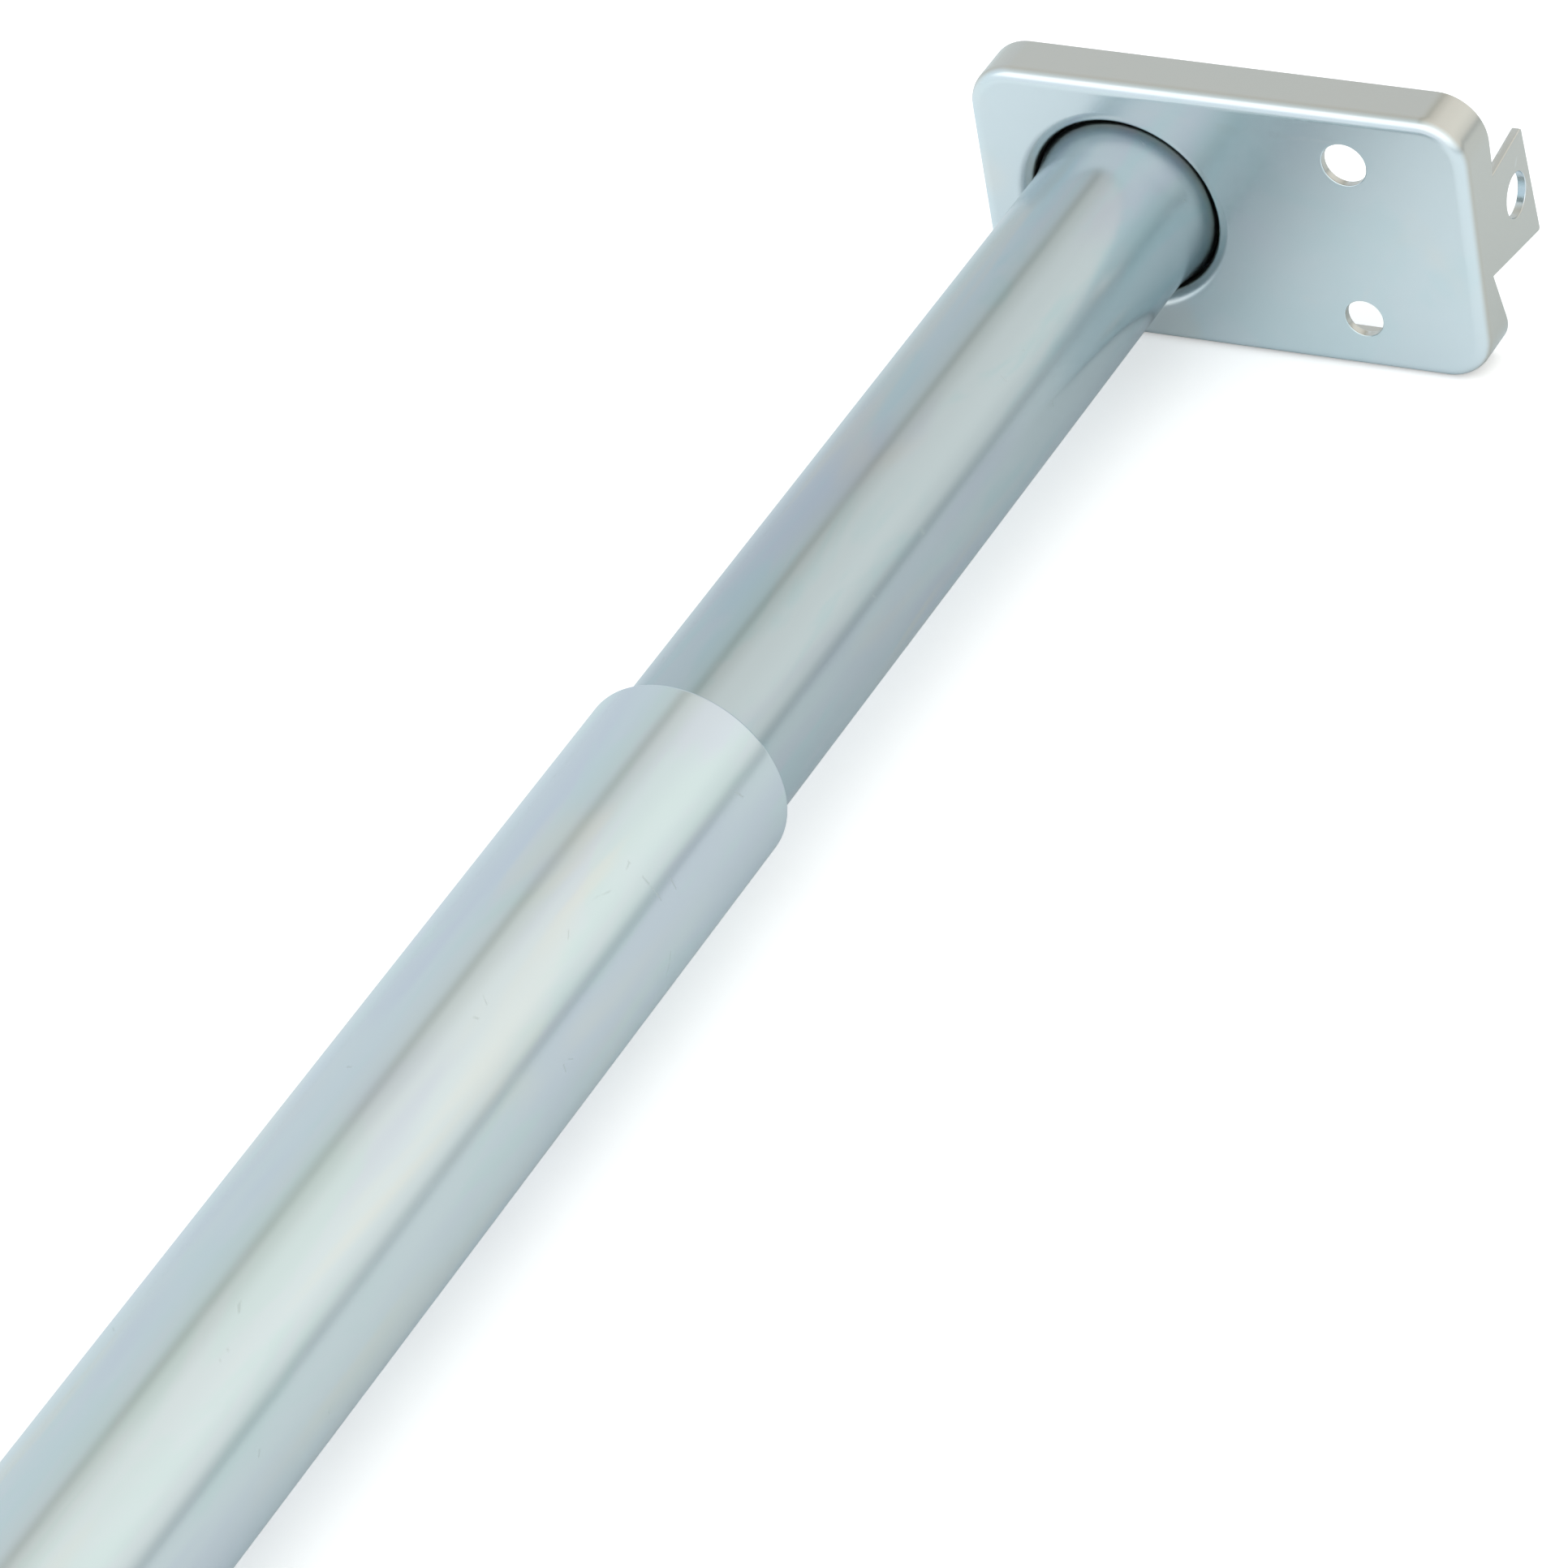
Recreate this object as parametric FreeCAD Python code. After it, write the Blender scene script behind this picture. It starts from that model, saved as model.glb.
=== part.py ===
import FreeCAD, Part
import math
import os

V = FreeCAD.Vector
os.makedirs("parts", exist_ok=True)

# Telescoping ratchet cargo bar. All lengths are in mm.
# X runs along the bar, Y across it and Z up. The pans' long edges stand on z = 0.

# foot pan, pressed from sheet
PAN_LEFT = 33.0
PAN_RIGHT = 81.3
PAN_HIGH = 63.5
PAN_DEEP = 12.7
SHEET = 2.0
PAN_CORNER_R = 10.5
PAN_BEND_R = 3.0
NECK_R = 21.2
NECK_BEND_R = 3.3
NECK_DEEP = 4.6
BOLT_Y = -53.5
BOLT_UP = 19.05
UPPER_BOLT_R = 5.0
LOWER_BOLT_R = 4.3
EAR_ROOT_OUT = 12.2
EAR_ROOT_UP = 12.8
EAR_RIM_UP = 15.0
EAR_TOP_OUT = 28.2
EAR_TOP_UP = 14.7
EAR_LOW_OUT = 31.5
EAR_LOW_UP = -12.7
EAR_CHOP = 0.5
EAR_HOLE_R = 5.0
EAR_HOLE_OUT = 22.2
EAR_HOLE_UP = 1.7
RELIEF_OUT = 7.0
RELIEF_TOP = -8.8
RELIEF_LOW = -27.5

# tubes
INNER_R = 19.05
OUTER_R = 22.225
WALL = 1.65
FLARE_START = -8.0
FLARE_R = 34.0
FLARE_TURN = 16.5
SEAT_R = 20.7
BELL_START = 6.0
BELL_BEND_R = 2.0
BELL_R = 23.6
EXTENSION_LONG = 470.0
EXTENSION_SHOWN = 207.0
MAIN_LONG = 890.0
RACK_LONG = 545.0
RACK_SHOWN = 105.0

# thrust washer and retainer cup inside each pan
WASHER_IN_R = 22.2
WASHER_OUT_R = 24.0
WASHER_START = 5.0
WASHER_THICK = 2.1
CUP_SHEET = 1.5
CUP_IN_R = 24.8
CUP_BRIM_R = 28.7
CUP_CROWN = 10.6
CUP_HOLE_R = 12.0

# snap button and its row of holes
BUTTON_FROM_END = 30.0
BUTTON_R = 4.0
BUTTON_HOLE_R = 4.4
HOLE_PITCH = 30.0
HOLES_EACH_WAY = 6
BUTTON_PROUD = 3.0
SPRING_STRIP = 0.8
SPRING_WIDE = 9.0

# jack bracket
JACK_OVER_TUBE = 70.0
JACK_PAST_TUBE = 95.0
JACK_SHEET = 2.5
GUIDE_THICK = 3.0
GUIDE_GAP = 0.3
BUSH_LONG = 30.0
BUSH_GAP = 0.1

# rack slots
SLOT_PITCH = 10.0
SLOT_LONG = 6.0
SLOT_WIDE = 15.0
SLOTS_OUT = 28
SLOTS_IN = 8

# jack pins and pawls, placed from the main tube's jack end and the tube axis
PIVOT_X = -18.0
PIVOT_UP = 40.0
PIVOT_R = 4.0
CRANK = 14.0
CRANK_ANGLE = 230.0
DRIVE_PIN_R = 3.0
HOLD_X = -62.0
HOLD_UP = 30.0
HOLD_TIP_X = -80.0
HOLD_TIP_UP = 16.6
HOLD_TIP_BACK = 0.8
HOLD_TIP_FRONT = 2.4
HOLD_PIN_R = 3.0
PAWL_HALF = 6.0
RUN_GAP = 0.08
COIL_R = 4.4
COIL_PITCH = 1.6
COIL_LEG = 5.0
WIRE_R = 0.6
SPRING_START = 7.4
SPRING_END = 14.2
SPACER_R = 4.9

# handle
HANDLE_HALF = 21.9
HANDLE_SHEET = 2.0
HANDLE_TOP = 48.0
HANDLE_LOW = 29.0
GRIP_HALF = 14.0
HANDLE_END = 215.0
GRIP_START = 100.0
GRIP_WALL = 2.5

AXIS_UP = PAN_HIGH / 2
SPAN = EXTENSION_SHOWN + MAIN_LONG + JACK_PAST_TUBE + RACK_SHOWN
FOOT_X = SPAN / 2
MOUTH_X = FOOT_X - EXTENSION_SHOWN
JACK_X = MOUTH_X - MAIN_LONG
CRANK_X = PIVOT_X + CRANK * math.cos(math.radians(CRANK_ANGLE))
CRANK_UP = PIVOT_UP + CRANK * math.sin(math.radians(CRANK_ANGLE))
BELL_END = BELL_START + BELL_BEND_R + WALL
BUTTON_X = FOOT_X + BELL_END - EXTENSION_LONG + BUTTON_FROM_END


def save(shape, name):
    shape.exportStep("parts/" + name + ".step")


def box(x0, x1, y0, y1, z0, z1):
    return Part.makeBox(x1 - x0, y1 - y0, z1 - z0, V(x0, y0, z0))


def rod_x(r, x0, x1):
    return Part.makeCylinder(r, x1 - x0, V(x0, 0, 0), V(1, 0, 0))


def rod_y(r, y0, y1, x, z):
    return Part.makeCylinder(r, y1 - y0, V(x, y0, z), V(0, 1, 0))


def tube_x(r_out, r_in, x0, x1):
    return rod_x(r_out, x0, x1).cut(rod_x(r_in, x0 - 1, x1 + 1))


def spin_x(edges):
    """Turn a closed outline, drawn in x and z, about the X axis."""
    face = Part.Face(Part.Wire(edges))
    return face.revolve(V(0, 0, 0), V(1, 0, 0), 360)


def line(a, b):
    return Part.makeLine(V(a[0], 0, a[1]), V(b[0], 0, b[1]))


def arc(a, mid, b):
    return Part.Arc(V(a[0], 0, a[1]), V(mid[0], 0, mid[1]), V(b[0], 0, b[1])).toShape()


def bend(centre, r, start, turn):
    """An arc about a centre, as its first, middle and last points; angles are counterclockwise."""
    points = []
    for part in (0, 0.5, 1):
        a = math.radians(start + part * turn)
        points.append((centre[0] + r * math.cos(a), centre[1] + r * math.sin(a)))
    return points


def plate_y(points, y0, y1):
    """A flat plate with the outline points in x and z, from y0 to y1."""
    loop = [V(x, y0, z) for x, z in points]
    face = Part.Face(Part.makePolygon(loop + [loop[0]]))
    return face.extrude(V(0, y1 - y0, 0))


def round_corners(shape, r, keep):
    """Fillet each straight edge that keep picks."""
    edges = [e for e in shape.Edges if isinstance(e.Curve, Part.Line) and keep(e)]
    return shape.makeFillet(r, edges)


def along(edge, axis):
    return abs(edge.tangentAt(edge.FirstParameter).dot(axis)) > 0.999


def pan_block(inset):
    """The pan's outer form, or with an inset its hollow, with its face at x = inset."""
    form = box(inset, PAN_DEEP + inset, inset - PAN_RIGHT, PAN_LEFT - inset,
               inset - PAN_HIGH / 2, PAN_HIGH / 2 - inset)
    form = round_corners(form, PAN_CORNER_R - inset, lambda e: along(e, V(1, 0, 0)))
    face = [e for e in form.Edges if abs(e.CenterOfMass.x - inset) < 0.01]
    return form.makeFillet(PAN_BEND_R - inset, face)


def neck_ring():
    """The rim of the tube hole, turned back through a bend into a short neck."""
    centre = (NECK_BEND_R, NECK_R + NECK_BEND_R)
    front = bend(centre, NECK_BEND_R, 180, 90)
    back = bend(centre, NECK_BEND_R - SHEET, 180, 90)
    return spin_x([
        arc(front[0], front[1], front[2]),
        line(front[2], (NECK_DEEP, NECK_R)),
        line((NECK_DEEP, NECK_R), (NECK_DEEP, NECK_R + SHEET)),
        line((NECK_DEEP, NECK_R + SHEET), back[2]),
        arc(back[2], back[1], back[0]),
        line(back[0], front[0]),
    ])


def ear():
    """The tab that carries on from the right flange and fans out, its two corners just broken."""
    tab = plate_y([(RELIEF_OUT, RELIEF_TOP), (EAR_LOW_OUT, EAR_LOW_UP), (EAR_TOP_OUT, EAR_TOP_UP),
                   (EAR_ROOT_OUT, EAR_ROOT_UP), (RELIEF_OUT, EAR_ROOT_UP)],
                  -PAN_RIGHT, SHEET - PAN_RIGHT)
    tips = [e for e in tab.Edges if along(e, V(0, 1, 0)) and e.CenterOfMass.x > PAN_DEEP + 1]
    tab = tab.makeChamfer(EAR_CHOP, tips)
    hole = rod_y(EAR_HOLE_R, -PAN_RIGHT - 1, SHEET - PAN_RIGHT + 1, EAR_HOLE_OUT, EAR_HOLE_UP)
    return tab.cut(hole)


def foot_pan():
    pan = pan_block(0).cut(pan_block(SHEET))
    pan = pan.cut(rod_x(NECK_R + NECK_BEND_R, -1, SHEET + 1)).fuse(neck_ring())
    pan = pan.cut(rod_x(UPPER_BOLT_R, -1, SHEET + 1).translated(V(0, BOLT_Y, BOLT_UP)))
    pan = pan.cut(rod_x(LOWER_BOLT_R, -1, SHEET + 1).translated(V(0, BOLT_Y, -BOLT_UP)))
    pan = pan.fuse(ear()).removeSplitter()
    fall = (EAR_LOW_UP - RELIEF_TOP) / (EAR_LOW_OUT - RELIEF_OUT)
    out = PAN_DEEP + 30
    relief = plate_y([(RELIEF_OUT, RELIEF_TOP), (out, RELIEF_TOP + fall * (out - RELIEF_OUT)),
                      (out, RELIEF_LOW), (PAN_DEEP, RELIEF_LOW)],
                     -PAN_RIGHT - 1, SHEET - PAN_RIGHT + 1)
    rise = (EAR_TOP_UP - EAR_ROOT_UP) / (EAR_TOP_OUT - EAR_ROOT_OUT)
    past = PAN_DEEP + 1
    nick = plate_y([(EAR_ROOT_OUT, EAR_ROOT_UP), (past, EAR_ROOT_UP + rise * (past - EAR_ROOT_OUT)),
                    (past, EAR_RIM_UP), (PAN_DEEP, EAR_RIM_UP)],
                   -PAN_RIGHT - 1, SHEET - PAN_RIGHT + 1)
    return pan.cut(relief).cut(nick)


def retainer_cup():
    """A pressed hat spot-welded in the pan, which keeps the tube's bell behind the neck."""
    wall = CUP_IN_R + CUP_SHEET
    outline = [(SHEET, wall - CUP_SHEET), (SHEET, CUP_BRIM_R), (SHEET + CUP_SHEET, CUP_BRIM_R),
               (SHEET + CUP_SHEET, wall), (CUP_CROWN + CUP_SHEET, wall),
               (CUP_CROWN + CUP_SHEET, CUP_HOLE_R), (CUP_CROWN, CUP_HOLE_R), (CUP_CROWN, CUP_IN_R)]
    ring = outline + [outline[0]]
    cup = spin_x([line(ring[i], ring[i + 1]) for i in range(len(outline))])
    edge = [e for e in cup.Edges if abs(e.BoundBox.XMax - CUP_CROWN - CUP_SHEET) < 0.01
            and abs(e.BoundBox.XMin - CUP_CROWN - CUP_SHEET) < 0.01
            and e.BoundBox.YMax > CUP_IN_R]
    return cup.makeFillet(1.2, edge)


def thrust_washer():
    ring = tube_x(WASHER_OUT_R, WASHER_IN_R, WASHER_START, WASHER_START + WASHER_THICK)
    return ring.makeChamfer(0.3, [e for e in ring.Edges if e.BoundBox.YMax > WASHER_OUT_R - 0.01
                                  and e.BoundBox.XLength < 0.01])


def belled_tube(long):
    """A tube along -X that swells to fill the pan's hole and ends in a flat bell behind it."""
    flare_up = INNER_R + FLARE_R
    turn = math.radians(FLARE_TURN)
    swell = FLARE_R * (1 - math.cos(turn))
    round_r = (SEAT_R - INNER_R - swell) / (1 - math.cos(turn))
    seat = FLARE_START + (FLARE_R + round_r) * math.sin(turn)
    bell_up = SEAT_R + BELL_BEND_R
    outer = []
    inner = []
    for skin, t in ((outer, 0), (inner, WALL)):
        skin.append(bend((FLARE_START, flare_up), FLARE_R + t, 270, FLARE_TURN))
        skin.append(bend((seat, SEAT_R - round_r), round_r - t, 90 + FLARE_TURN, -FLARE_TURN))
        skin.append(bend((BELL_START, bell_up), BELL_BEND_R + t, 270, 90))
    foot = BELL_END - long
    edges = [line((foot, INNER_R), outer[0][0])]
    edges += [arc(*outer[0]), arc(*outer[1]), line(outer[1][2], outer[2][0]), arc(*outer[2])]
    edges += [line(outer[2][2], (BELL_END - WALL, BELL_R)), line((BELL_END - WALL, BELL_R), (BELL_END, BELL_R))]
    edges += [line((BELL_END, BELL_R), inner[2][2]), arc(*inner[2]), line(inner[2][0], inner[1][2])]
    edges += [arc(*inner[1]), arc(*inner[0]), line(inner[0][0], (foot, INNER_R - WALL))]
    edges.append(line((foot, INNER_R - WALL), (foot, INNER_R)))
    return spin_x(edges)


def extension_tube():
    tube = belled_tube(EXTENSION_LONG)
    x = BUTTON_X - FOOT_X
    hole = Part.makeCylinder(BUTTON_HOLE_R, INNER_R + 1, V(x, 0, 0), V(0, 0, -1))
    return tube.cut(hole).translated(V(FOOT_X, 0, AXIS_UP))


def button_spring():
    """A spring strip folded to a V, its tail pressing on the top of the tube inside."""
    top = INNER_R - WALL - 1.2
    low = INNER_R - WALL - 2.2
    nose = BUTTON_X + 24.0
    tail = BUTTON_X - 14.0
    outer = [(tail, top), (nose - 4, top - 2), (nose, 2), (nose, -2), (nose - 4, -low + 2),
             (tail + 6, -low)]
    inner = [(tail + 6, SPRING_STRIP - low), (nose - 4 - SPRING_STRIP, SPRING_STRIP - low + 2),
             (nose - SPRING_STRIP, -2), (nose - SPRING_STRIP, 2),
             (nose - 4 - SPRING_STRIP, top - 2 - SPRING_STRIP), (tail, top - SPRING_STRIP)]
    strip = plate_y(outer + inner, -SPRING_WIDE / 2, SPRING_WIDE / 2)
    return strip.translated(V(0, 0, AXIS_UP))


def snap_button():
    """A round stud with a domed nose; its flange sits on the spring strip."""
    low = INNER_R - WALL - 2.2
    proud = OUTER_R + BUTTON_PROUD
    stud = Part.makeCylinder(BUTTON_R, proud + SPRING_STRIP - low - 0.3, V(BUTTON_X, 0, -proud))
    nose = [e for e in stud.Edges if e.BoundBox.ZMax < 0.01 - proud]
    stud = stud.makeFillet(2.2, nose)
    stud = stud.cut(box(BUTTON_X - 9, BUTTON_X + 9, -6, 6, -low - 0.05, SPRING_STRIP - low + 3))
    return stud.translated(V(0, 0, AXIS_UP))


def main_tube():
    """The outer tube, its mouth rounded over, with a row of button holes underneath."""
    tube = tube_x(OUTER_R, OUTER_R - WALL, JACK_X, MOUTH_X)
    mouth = [e for e in tube.Edges if e.BoundBox.XLength < 0.01 and e.BoundBox.XMax > MOUTH_X - 0.1]
    tube = tube.makeFillet(0.75, mouth)
    drills = []
    for i in range(-HOLES_EACH_WAY, HOLES_EACH_WAY + 1):
        x = BUTTON_X + i * HOLE_PITCH
        drills.append(Part.makeCylinder(BUTTON_HOLE_R, OUTER_R + 1, V(x, 0, 0), V(0, 0, -1)))
    return tube.cut(Part.makeCompound(drills)).translated(V(0, 0, AXIS_UP))


def slot_cutter(x):
    half = SLOT_WIDE / 2 - SLOT_LONG / 2
    cutter = box(x - SLOT_LONG / 2, x + SLOT_LONG / 2, -half, half, 0, INNER_R + 1)
    for y in (half, -half):
        cutter = cutter.fuse(Part.makeCylinder(SLOT_LONG / 2, INNER_R + 1, V(x, y, 0)))
    return cutter


def rack_tube():
    """The inner tube on the jack side, belled at its foot and slotted along the top."""
    tube = belled_tube(RACK_LONG).mirror(V(0, 0, 0), V(1, 0, 0)).translated(V(-FOOT_X, 0, 0))
    first = JACK_X + HOLD_TIP_X - SLOTS_IN * SLOT_PITCH
    cutters = [slot_cutter(first + i * SLOT_PITCH) for i in range(SLOTS_IN + SLOTS_OUT + 1)]
    return tube.cut(Part.makeCompound(cutters)).translated(V(0, 0, AXIS_UP))


def rack_bush():
    """A plastic sleeve in the main tube's jack end, with a flange outside it."""
    sleeve = tube_x(OUTER_R - WALL, INNER_R + BUSH_GAP, JACK_X, JACK_X + BUSH_LONG)
    flange = tube_x(OUTER_R - 0.4, INNER_R + BUSH_GAP, JACK_X - 2, JACK_X)
    return sleeve.fuse(flange).removeSplitter().translated(V(0, 0, AXIS_UP))


def jack_bracket():
    """A channel folded round the tube: a web below and a tall cheek on each side."""
    low = -OUTER_R - JACK_SHEET
    side = [(JACK_OVER_TUBE, low), (JACK_OVER_TUBE, 3.0), (32.0, 4.0), (2.0, PIVOT_UP + 4),
            (-8.0, PIVOT_UP + 11), (-30.0, PIVOT_UP + 11), (-70.0, HOLD_UP + 9),
            (-82.0, HOLD_UP + 2), (-JACK_PAST_TUBE, 18.0), (-JACK_PAST_TUBE, low)]
    half = OUTER_R + JACK_SHEET
    body = plate_y(side, -half, half)
    body = round_corners(body, 5.0, lambda e: along(e, V(0, 1, 0)) and e.CenterOfMass.z > 0)
    body = round_corners(body, 3.5, lambda e: along(e, V(1, 0, 0)) and e.CenterOfMass.z < low + 0.1)
    room = box(-JACK_PAST_TUBE - 1, JACK_OVER_TUBE + 1, -OUTER_R, OUTER_R, -OUTER_R, 100)
    room = round_corners(room, 1.0, lambda e: along(e, V(1, 0, 0)) and e.CenterOfMass.z < 0)
    body = body.cut(room)
    body = body.cut(rod_y(PIVOT_R, -40, 40, PIVOT_X, PIVOT_UP))
    body = body.cut(rod_y(HOLD_PIN_R, -40, 40, HOLD_X, HOLD_UP))
    return body.translated(V(JACK_X, 0, AXIS_UP))


def end_guide():
    """The plate across the bracket's open end, with a round hole for the rack tube."""
    x = -JACK_PAST_TUBE
    plate = box(x, x + GUIDE_THICK, -OUTER_R, OUTER_R, 0.2 - OUTER_R, 22.5)
    plate = round_corners(plate, 1.5, lambda e: along(e, V(1, 0, 0)) and e.CenterOfMass.z < 0)
    hole = rod_x(INNER_R + GUIDE_GAP, x - 1, x + GUIDE_THICK + 1)
    return plate.cut(hole).translated(V(JACK_X, 0, AXIS_UP))


def jack_welds():
    """Two fillet beads where the bracket's cheeks meet the main tube."""
    beads = []
    for side in (1, -1):
        bead = rod_x(1.8, 38.0, JACK_OVER_TUBE - 4)
        for x in (38.0, JACK_OVER_TUBE - 4):
            bead = bead.fuse(Part.makeSphere(1.8, V(x, 0, 0)))
        beads.append(bead.translated(V(JACK_X, side * (OUTER_R + 0.4), AXIS_UP + 4.2)))
    return Part.makeCompound(beads)


def headed_pin(r, half, head_r, head, x, z):
    """A rivet across the bar with a domed head at each end."""
    pin = rod_y(r, -half, half, x, z)
    for side in (1, -1):
        cap = Part.makeCylinder(head_r, head, V(x, side * half, z), V(0, side, 0))
        rim = [e for e in cap.Edges if abs(abs(e.CenterOfMass.y) - half - head) < 0.01
               and abs(e.BoundBox.YLength) < 0.01]
        pin = pin.fuse(cap.makeFillet(head * 0.7, rim))
    return pin.removeSplitter().translated(V(JACK_X, 0, AXIS_UP))


def coil(turns, x, y, z):
    """A torsion spring wound round a pin across the bar, with a short straight leg at each end."""
    points = []
    for i in range(int(turns * 12) + 1):
        a = math.radians(30 * i)
        points.append(V(COIL_R * math.cos(a), COIL_PITCH * i / 12, COIL_R * math.sin(a)))
    first = V(COIL_R, 0, -COIL_LEG)
    a = math.radians(360 * turns)
    last = points[-1] + V(-math.sin(a), 0, math.cos(a)) * COIL_LEG
    curve = Part.BSplineCurve()
    curve.interpolate([first, (first + points[0]) / 2] + points + [(last + points[-1]) / 2, last])
    start = Part.Wire(Part.makeCircle(WIRE_R, first, curve.tangent(curve.FirstParameter)[0]))
    spring = Part.Wire(curve.toShape()).makePipeShell([start], True, True)
    return spring.translated(V(JACK_X + x, y, AXIS_UP + z))


def spacers(x, z, reach):
    """Two tube spacers on a pawl's pin: a long one, and a short one past the spring."""
    rings = []
    for y0, y1 in ((-reach, -PAWL_HALF - 0.3), (SPRING_END, reach)):
        ring = rod_y(SPACER_R, y0, y1, x, z).cut(rod_y(DRIVE_PIN_R + RUN_GAP, y0 - 1, y1 + 1, x, z))
        rings.append(ring)
    return Part.makeCompound(rings).translated(V(JACK_X, 0, AXIS_UP))


def drive_pawl():
    """The pawl hung in the handle: a boss round its pin and a finger towards the rack."""
    x = CRANK_X
    z = CRANK_UP
    finger = plate_y([(x + 1, z + 4.5), (x - 15, z - 1.2), (x - 20, z - 4.6), (x - 18.6, z - 6.5),
                      (x - 12, z - 6.0), (x - 1, z - 4.4)], -PAWL_HALF, PAWL_HALF)
    pawl = finger.fuse(rod_y(4.8, -PAWL_HALF, PAWL_HALF, x, z))
    pawl = pawl.cut(rod_y(DRIVE_PIN_R + RUN_GAP, -20, 20, x, z))
    return pawl.translated(V(JACK_X, 0, AXIS_UP))


def holding_pawl():
    """The pawl that keeps the rack from going back, with a thumb tab to lift it."""
    x = HOLD_X
    z = HOLD_UP
    arm = plate_y([(x + 2, z + 5.5), (x - 6, z + 5.5), (x - 16.5, z - 4),
                   (HOLD_TIP_X - HOLD_TIP_BACK, HOLD_TIP_UP + 5), (HOLD_TIP_X - HOLD_TIP_BACK, HOLD_TIP_UP),
                   (HOLD_TIP_X + HOLD_TIP_FRONT, HOLD_TIP_UP),
                   (HOLD_TIP_X + HOLD_TIP_FRONT, INNER_R + 0.6), (x - 12, z - 9), (x - 1, z - 5.8)],
                  -PAWL_HALF, PAWL_HALF)
    tab = plate_y([(x - 5.5, z), (x - 1.5, z + 27), (x - 6, z + 31), (x - 22, z + 34),
                   (x - 22.6, z + 31), (x - 7, z + 27.4), (x - 9.5, z)], -PAWL_HALF, PAWL_HALF)
    pad = plate_y([(x - 8, z + 31.4), (x - 22, z + 34), (x - 22.6, z + 31), (x - 8, z + 28.2)],
                  -13, 13)
    pawl = arm.fuse(rod_y(6.2, -PAWL_HALF, PAWL_HALF, x, z)).fuse(tab).fuse(pad)
    pawl = pawl.cut(rod_y(HOLD_PIN_R + RUN_GAP, -20, 20, x, z)).removeSplitter()
    return pawl.translated(V(JACK_X, 0, AXIS_UP))


def handle_plan(inset):
    """The handle's outline from above: wide at the pivot, tapering to the grip."""
    near = PIVOT_X - 11 - inset
    wide = HANDLE_HALF - inset
    thin = GRIP_HALF - inset
    return [V(near, -wide, 0), V(8, -wide, 0), V(72, -thin, 0), V(HANDLE_END, -thin, 0),
            V(HANDLE_END, thin, 0), V(72, thin, 0), V(8, wide, 0), V(near, wide, 0)]


def handle_block(inset, low, high):
    loop = [p + V(0, 0, low) for p in handle_plan(inset)]
    face = Part.Face(Part.makePolygon(loop + [loop[0]]))
    return face.extrude(V(0, 0, high - low))


def handle_lever():
    """A channel folded down both sides, with a round ear at the pivot on each side."""
    shell = handle_block(0, HANDLE_LOW, HANDLE_TOP)
    shell = shell.makeFillet(2.5, [e for e in shell.Edges if e.BoundBox.ZMin > HANDLE_TOP - 0.01
                                   and abs(e.CenterOfMass.y) > 1])
    shell = shell.cut(handle_block(HANDLE_SHEET, HANDLE_LOW - 1, HANDLE_TOP - HANDLE_SHEET))
    shell = shell.cut(box(PIVOT_X - 20, PIVOT_X + 4, -HANDLE_HALF - 1, HANDLE_HALF + 1,
                          HANDLE_LOW - 1, HANDLE_TOP + 1))
    ears = []
    for y0 in (-HANDLE_HALF, HANDLE_HALF - HANDLE_SHEET):
        plate = rod_y(11, y0, y0 + HANDLE_SHEET, PIVOT_X, PIVOT_UP)
        plate = plate.fuse(rod_y(6.5, y0, y0 + HANDLE_SHEET, CRANK_X, CRANK_UP))
        plate = plate.cut(box(-60, 60, -40, 40, HANDLE_TOP - 1.0, 80))
        ears.append(plate)
    lever = shell.fuse(ears).removeSplitter()
    lever = lever.cut(rod_y(PIVOT_R + RUN_GAP, -40, 40, PIVOT_X, PIVOT_UP))
    lever = lever.cut(rod_y(DRIVE_PIN_R, -40, 40, CRANK_X, CRANK_UP))
    return lever.translated(V(JACK_X, 0, AXIS_UP))


def handle_grip():
    """A moulded sleeve pushed over the end of the handle, closed at its end."""
    half = GRIP_HALF + GRIP_WALL
    grip = box(GRIP_START, HANDLE_END + 4, -half, half, HANDLE_LOW - GRIP_WALL,
               HANDLE_TOP + GRIP_WALL)
    grip = round_corners(grip, 6.0, lambda e: along(e, V(1, 0, 0)))
    end = [e for e in grip.Edges if e.BoundBox.XMin > HANDLE_END + 3.9]
    grip = grip.makeFillet(2.5, end)
    core = box(GRIP_START - 1, HANDLE_END, -GRIP_HALF, GRIP_HALF, HANDLE_LOW, HANDLE_TOP)
    return grip.cut(core).translated(V(JACK_X, 0, AXIS_UP))


def drive_pawl_pin():
    """The pawl's pin, flush with the handle's sides so that it clears the cheeks."""
    pin = rod_y(DRIVE_PIN_R, -HANDLE_HALF, HANDLE_HALF, CRANK_X, CRANK_UP)
    return pin.translated(V(JACK_X, 0, AXIS_UP))


def place_foot(shape, side):
    """Put a foot piece at the +X end, or turned half round at the -X end."""
    placed = shape.copy()
    if side < 0:
        placed.rotate(V(0, 0, 0), V(0, 0, 1), 180)
    return placed.translated(V(side * FOOT_X, 0, AXIS_UP))


for letter, side in (("a", 1), ("b", -1)):
    save(place_foot(foot_pan(), side), "foot_pan_" + letter)
    save(place_foot(retainer_cup(), side), "retainer_cup_" + letter)
    save(place_foot(thrust_washer(), side), "thrust_washer_" + letter)

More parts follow.
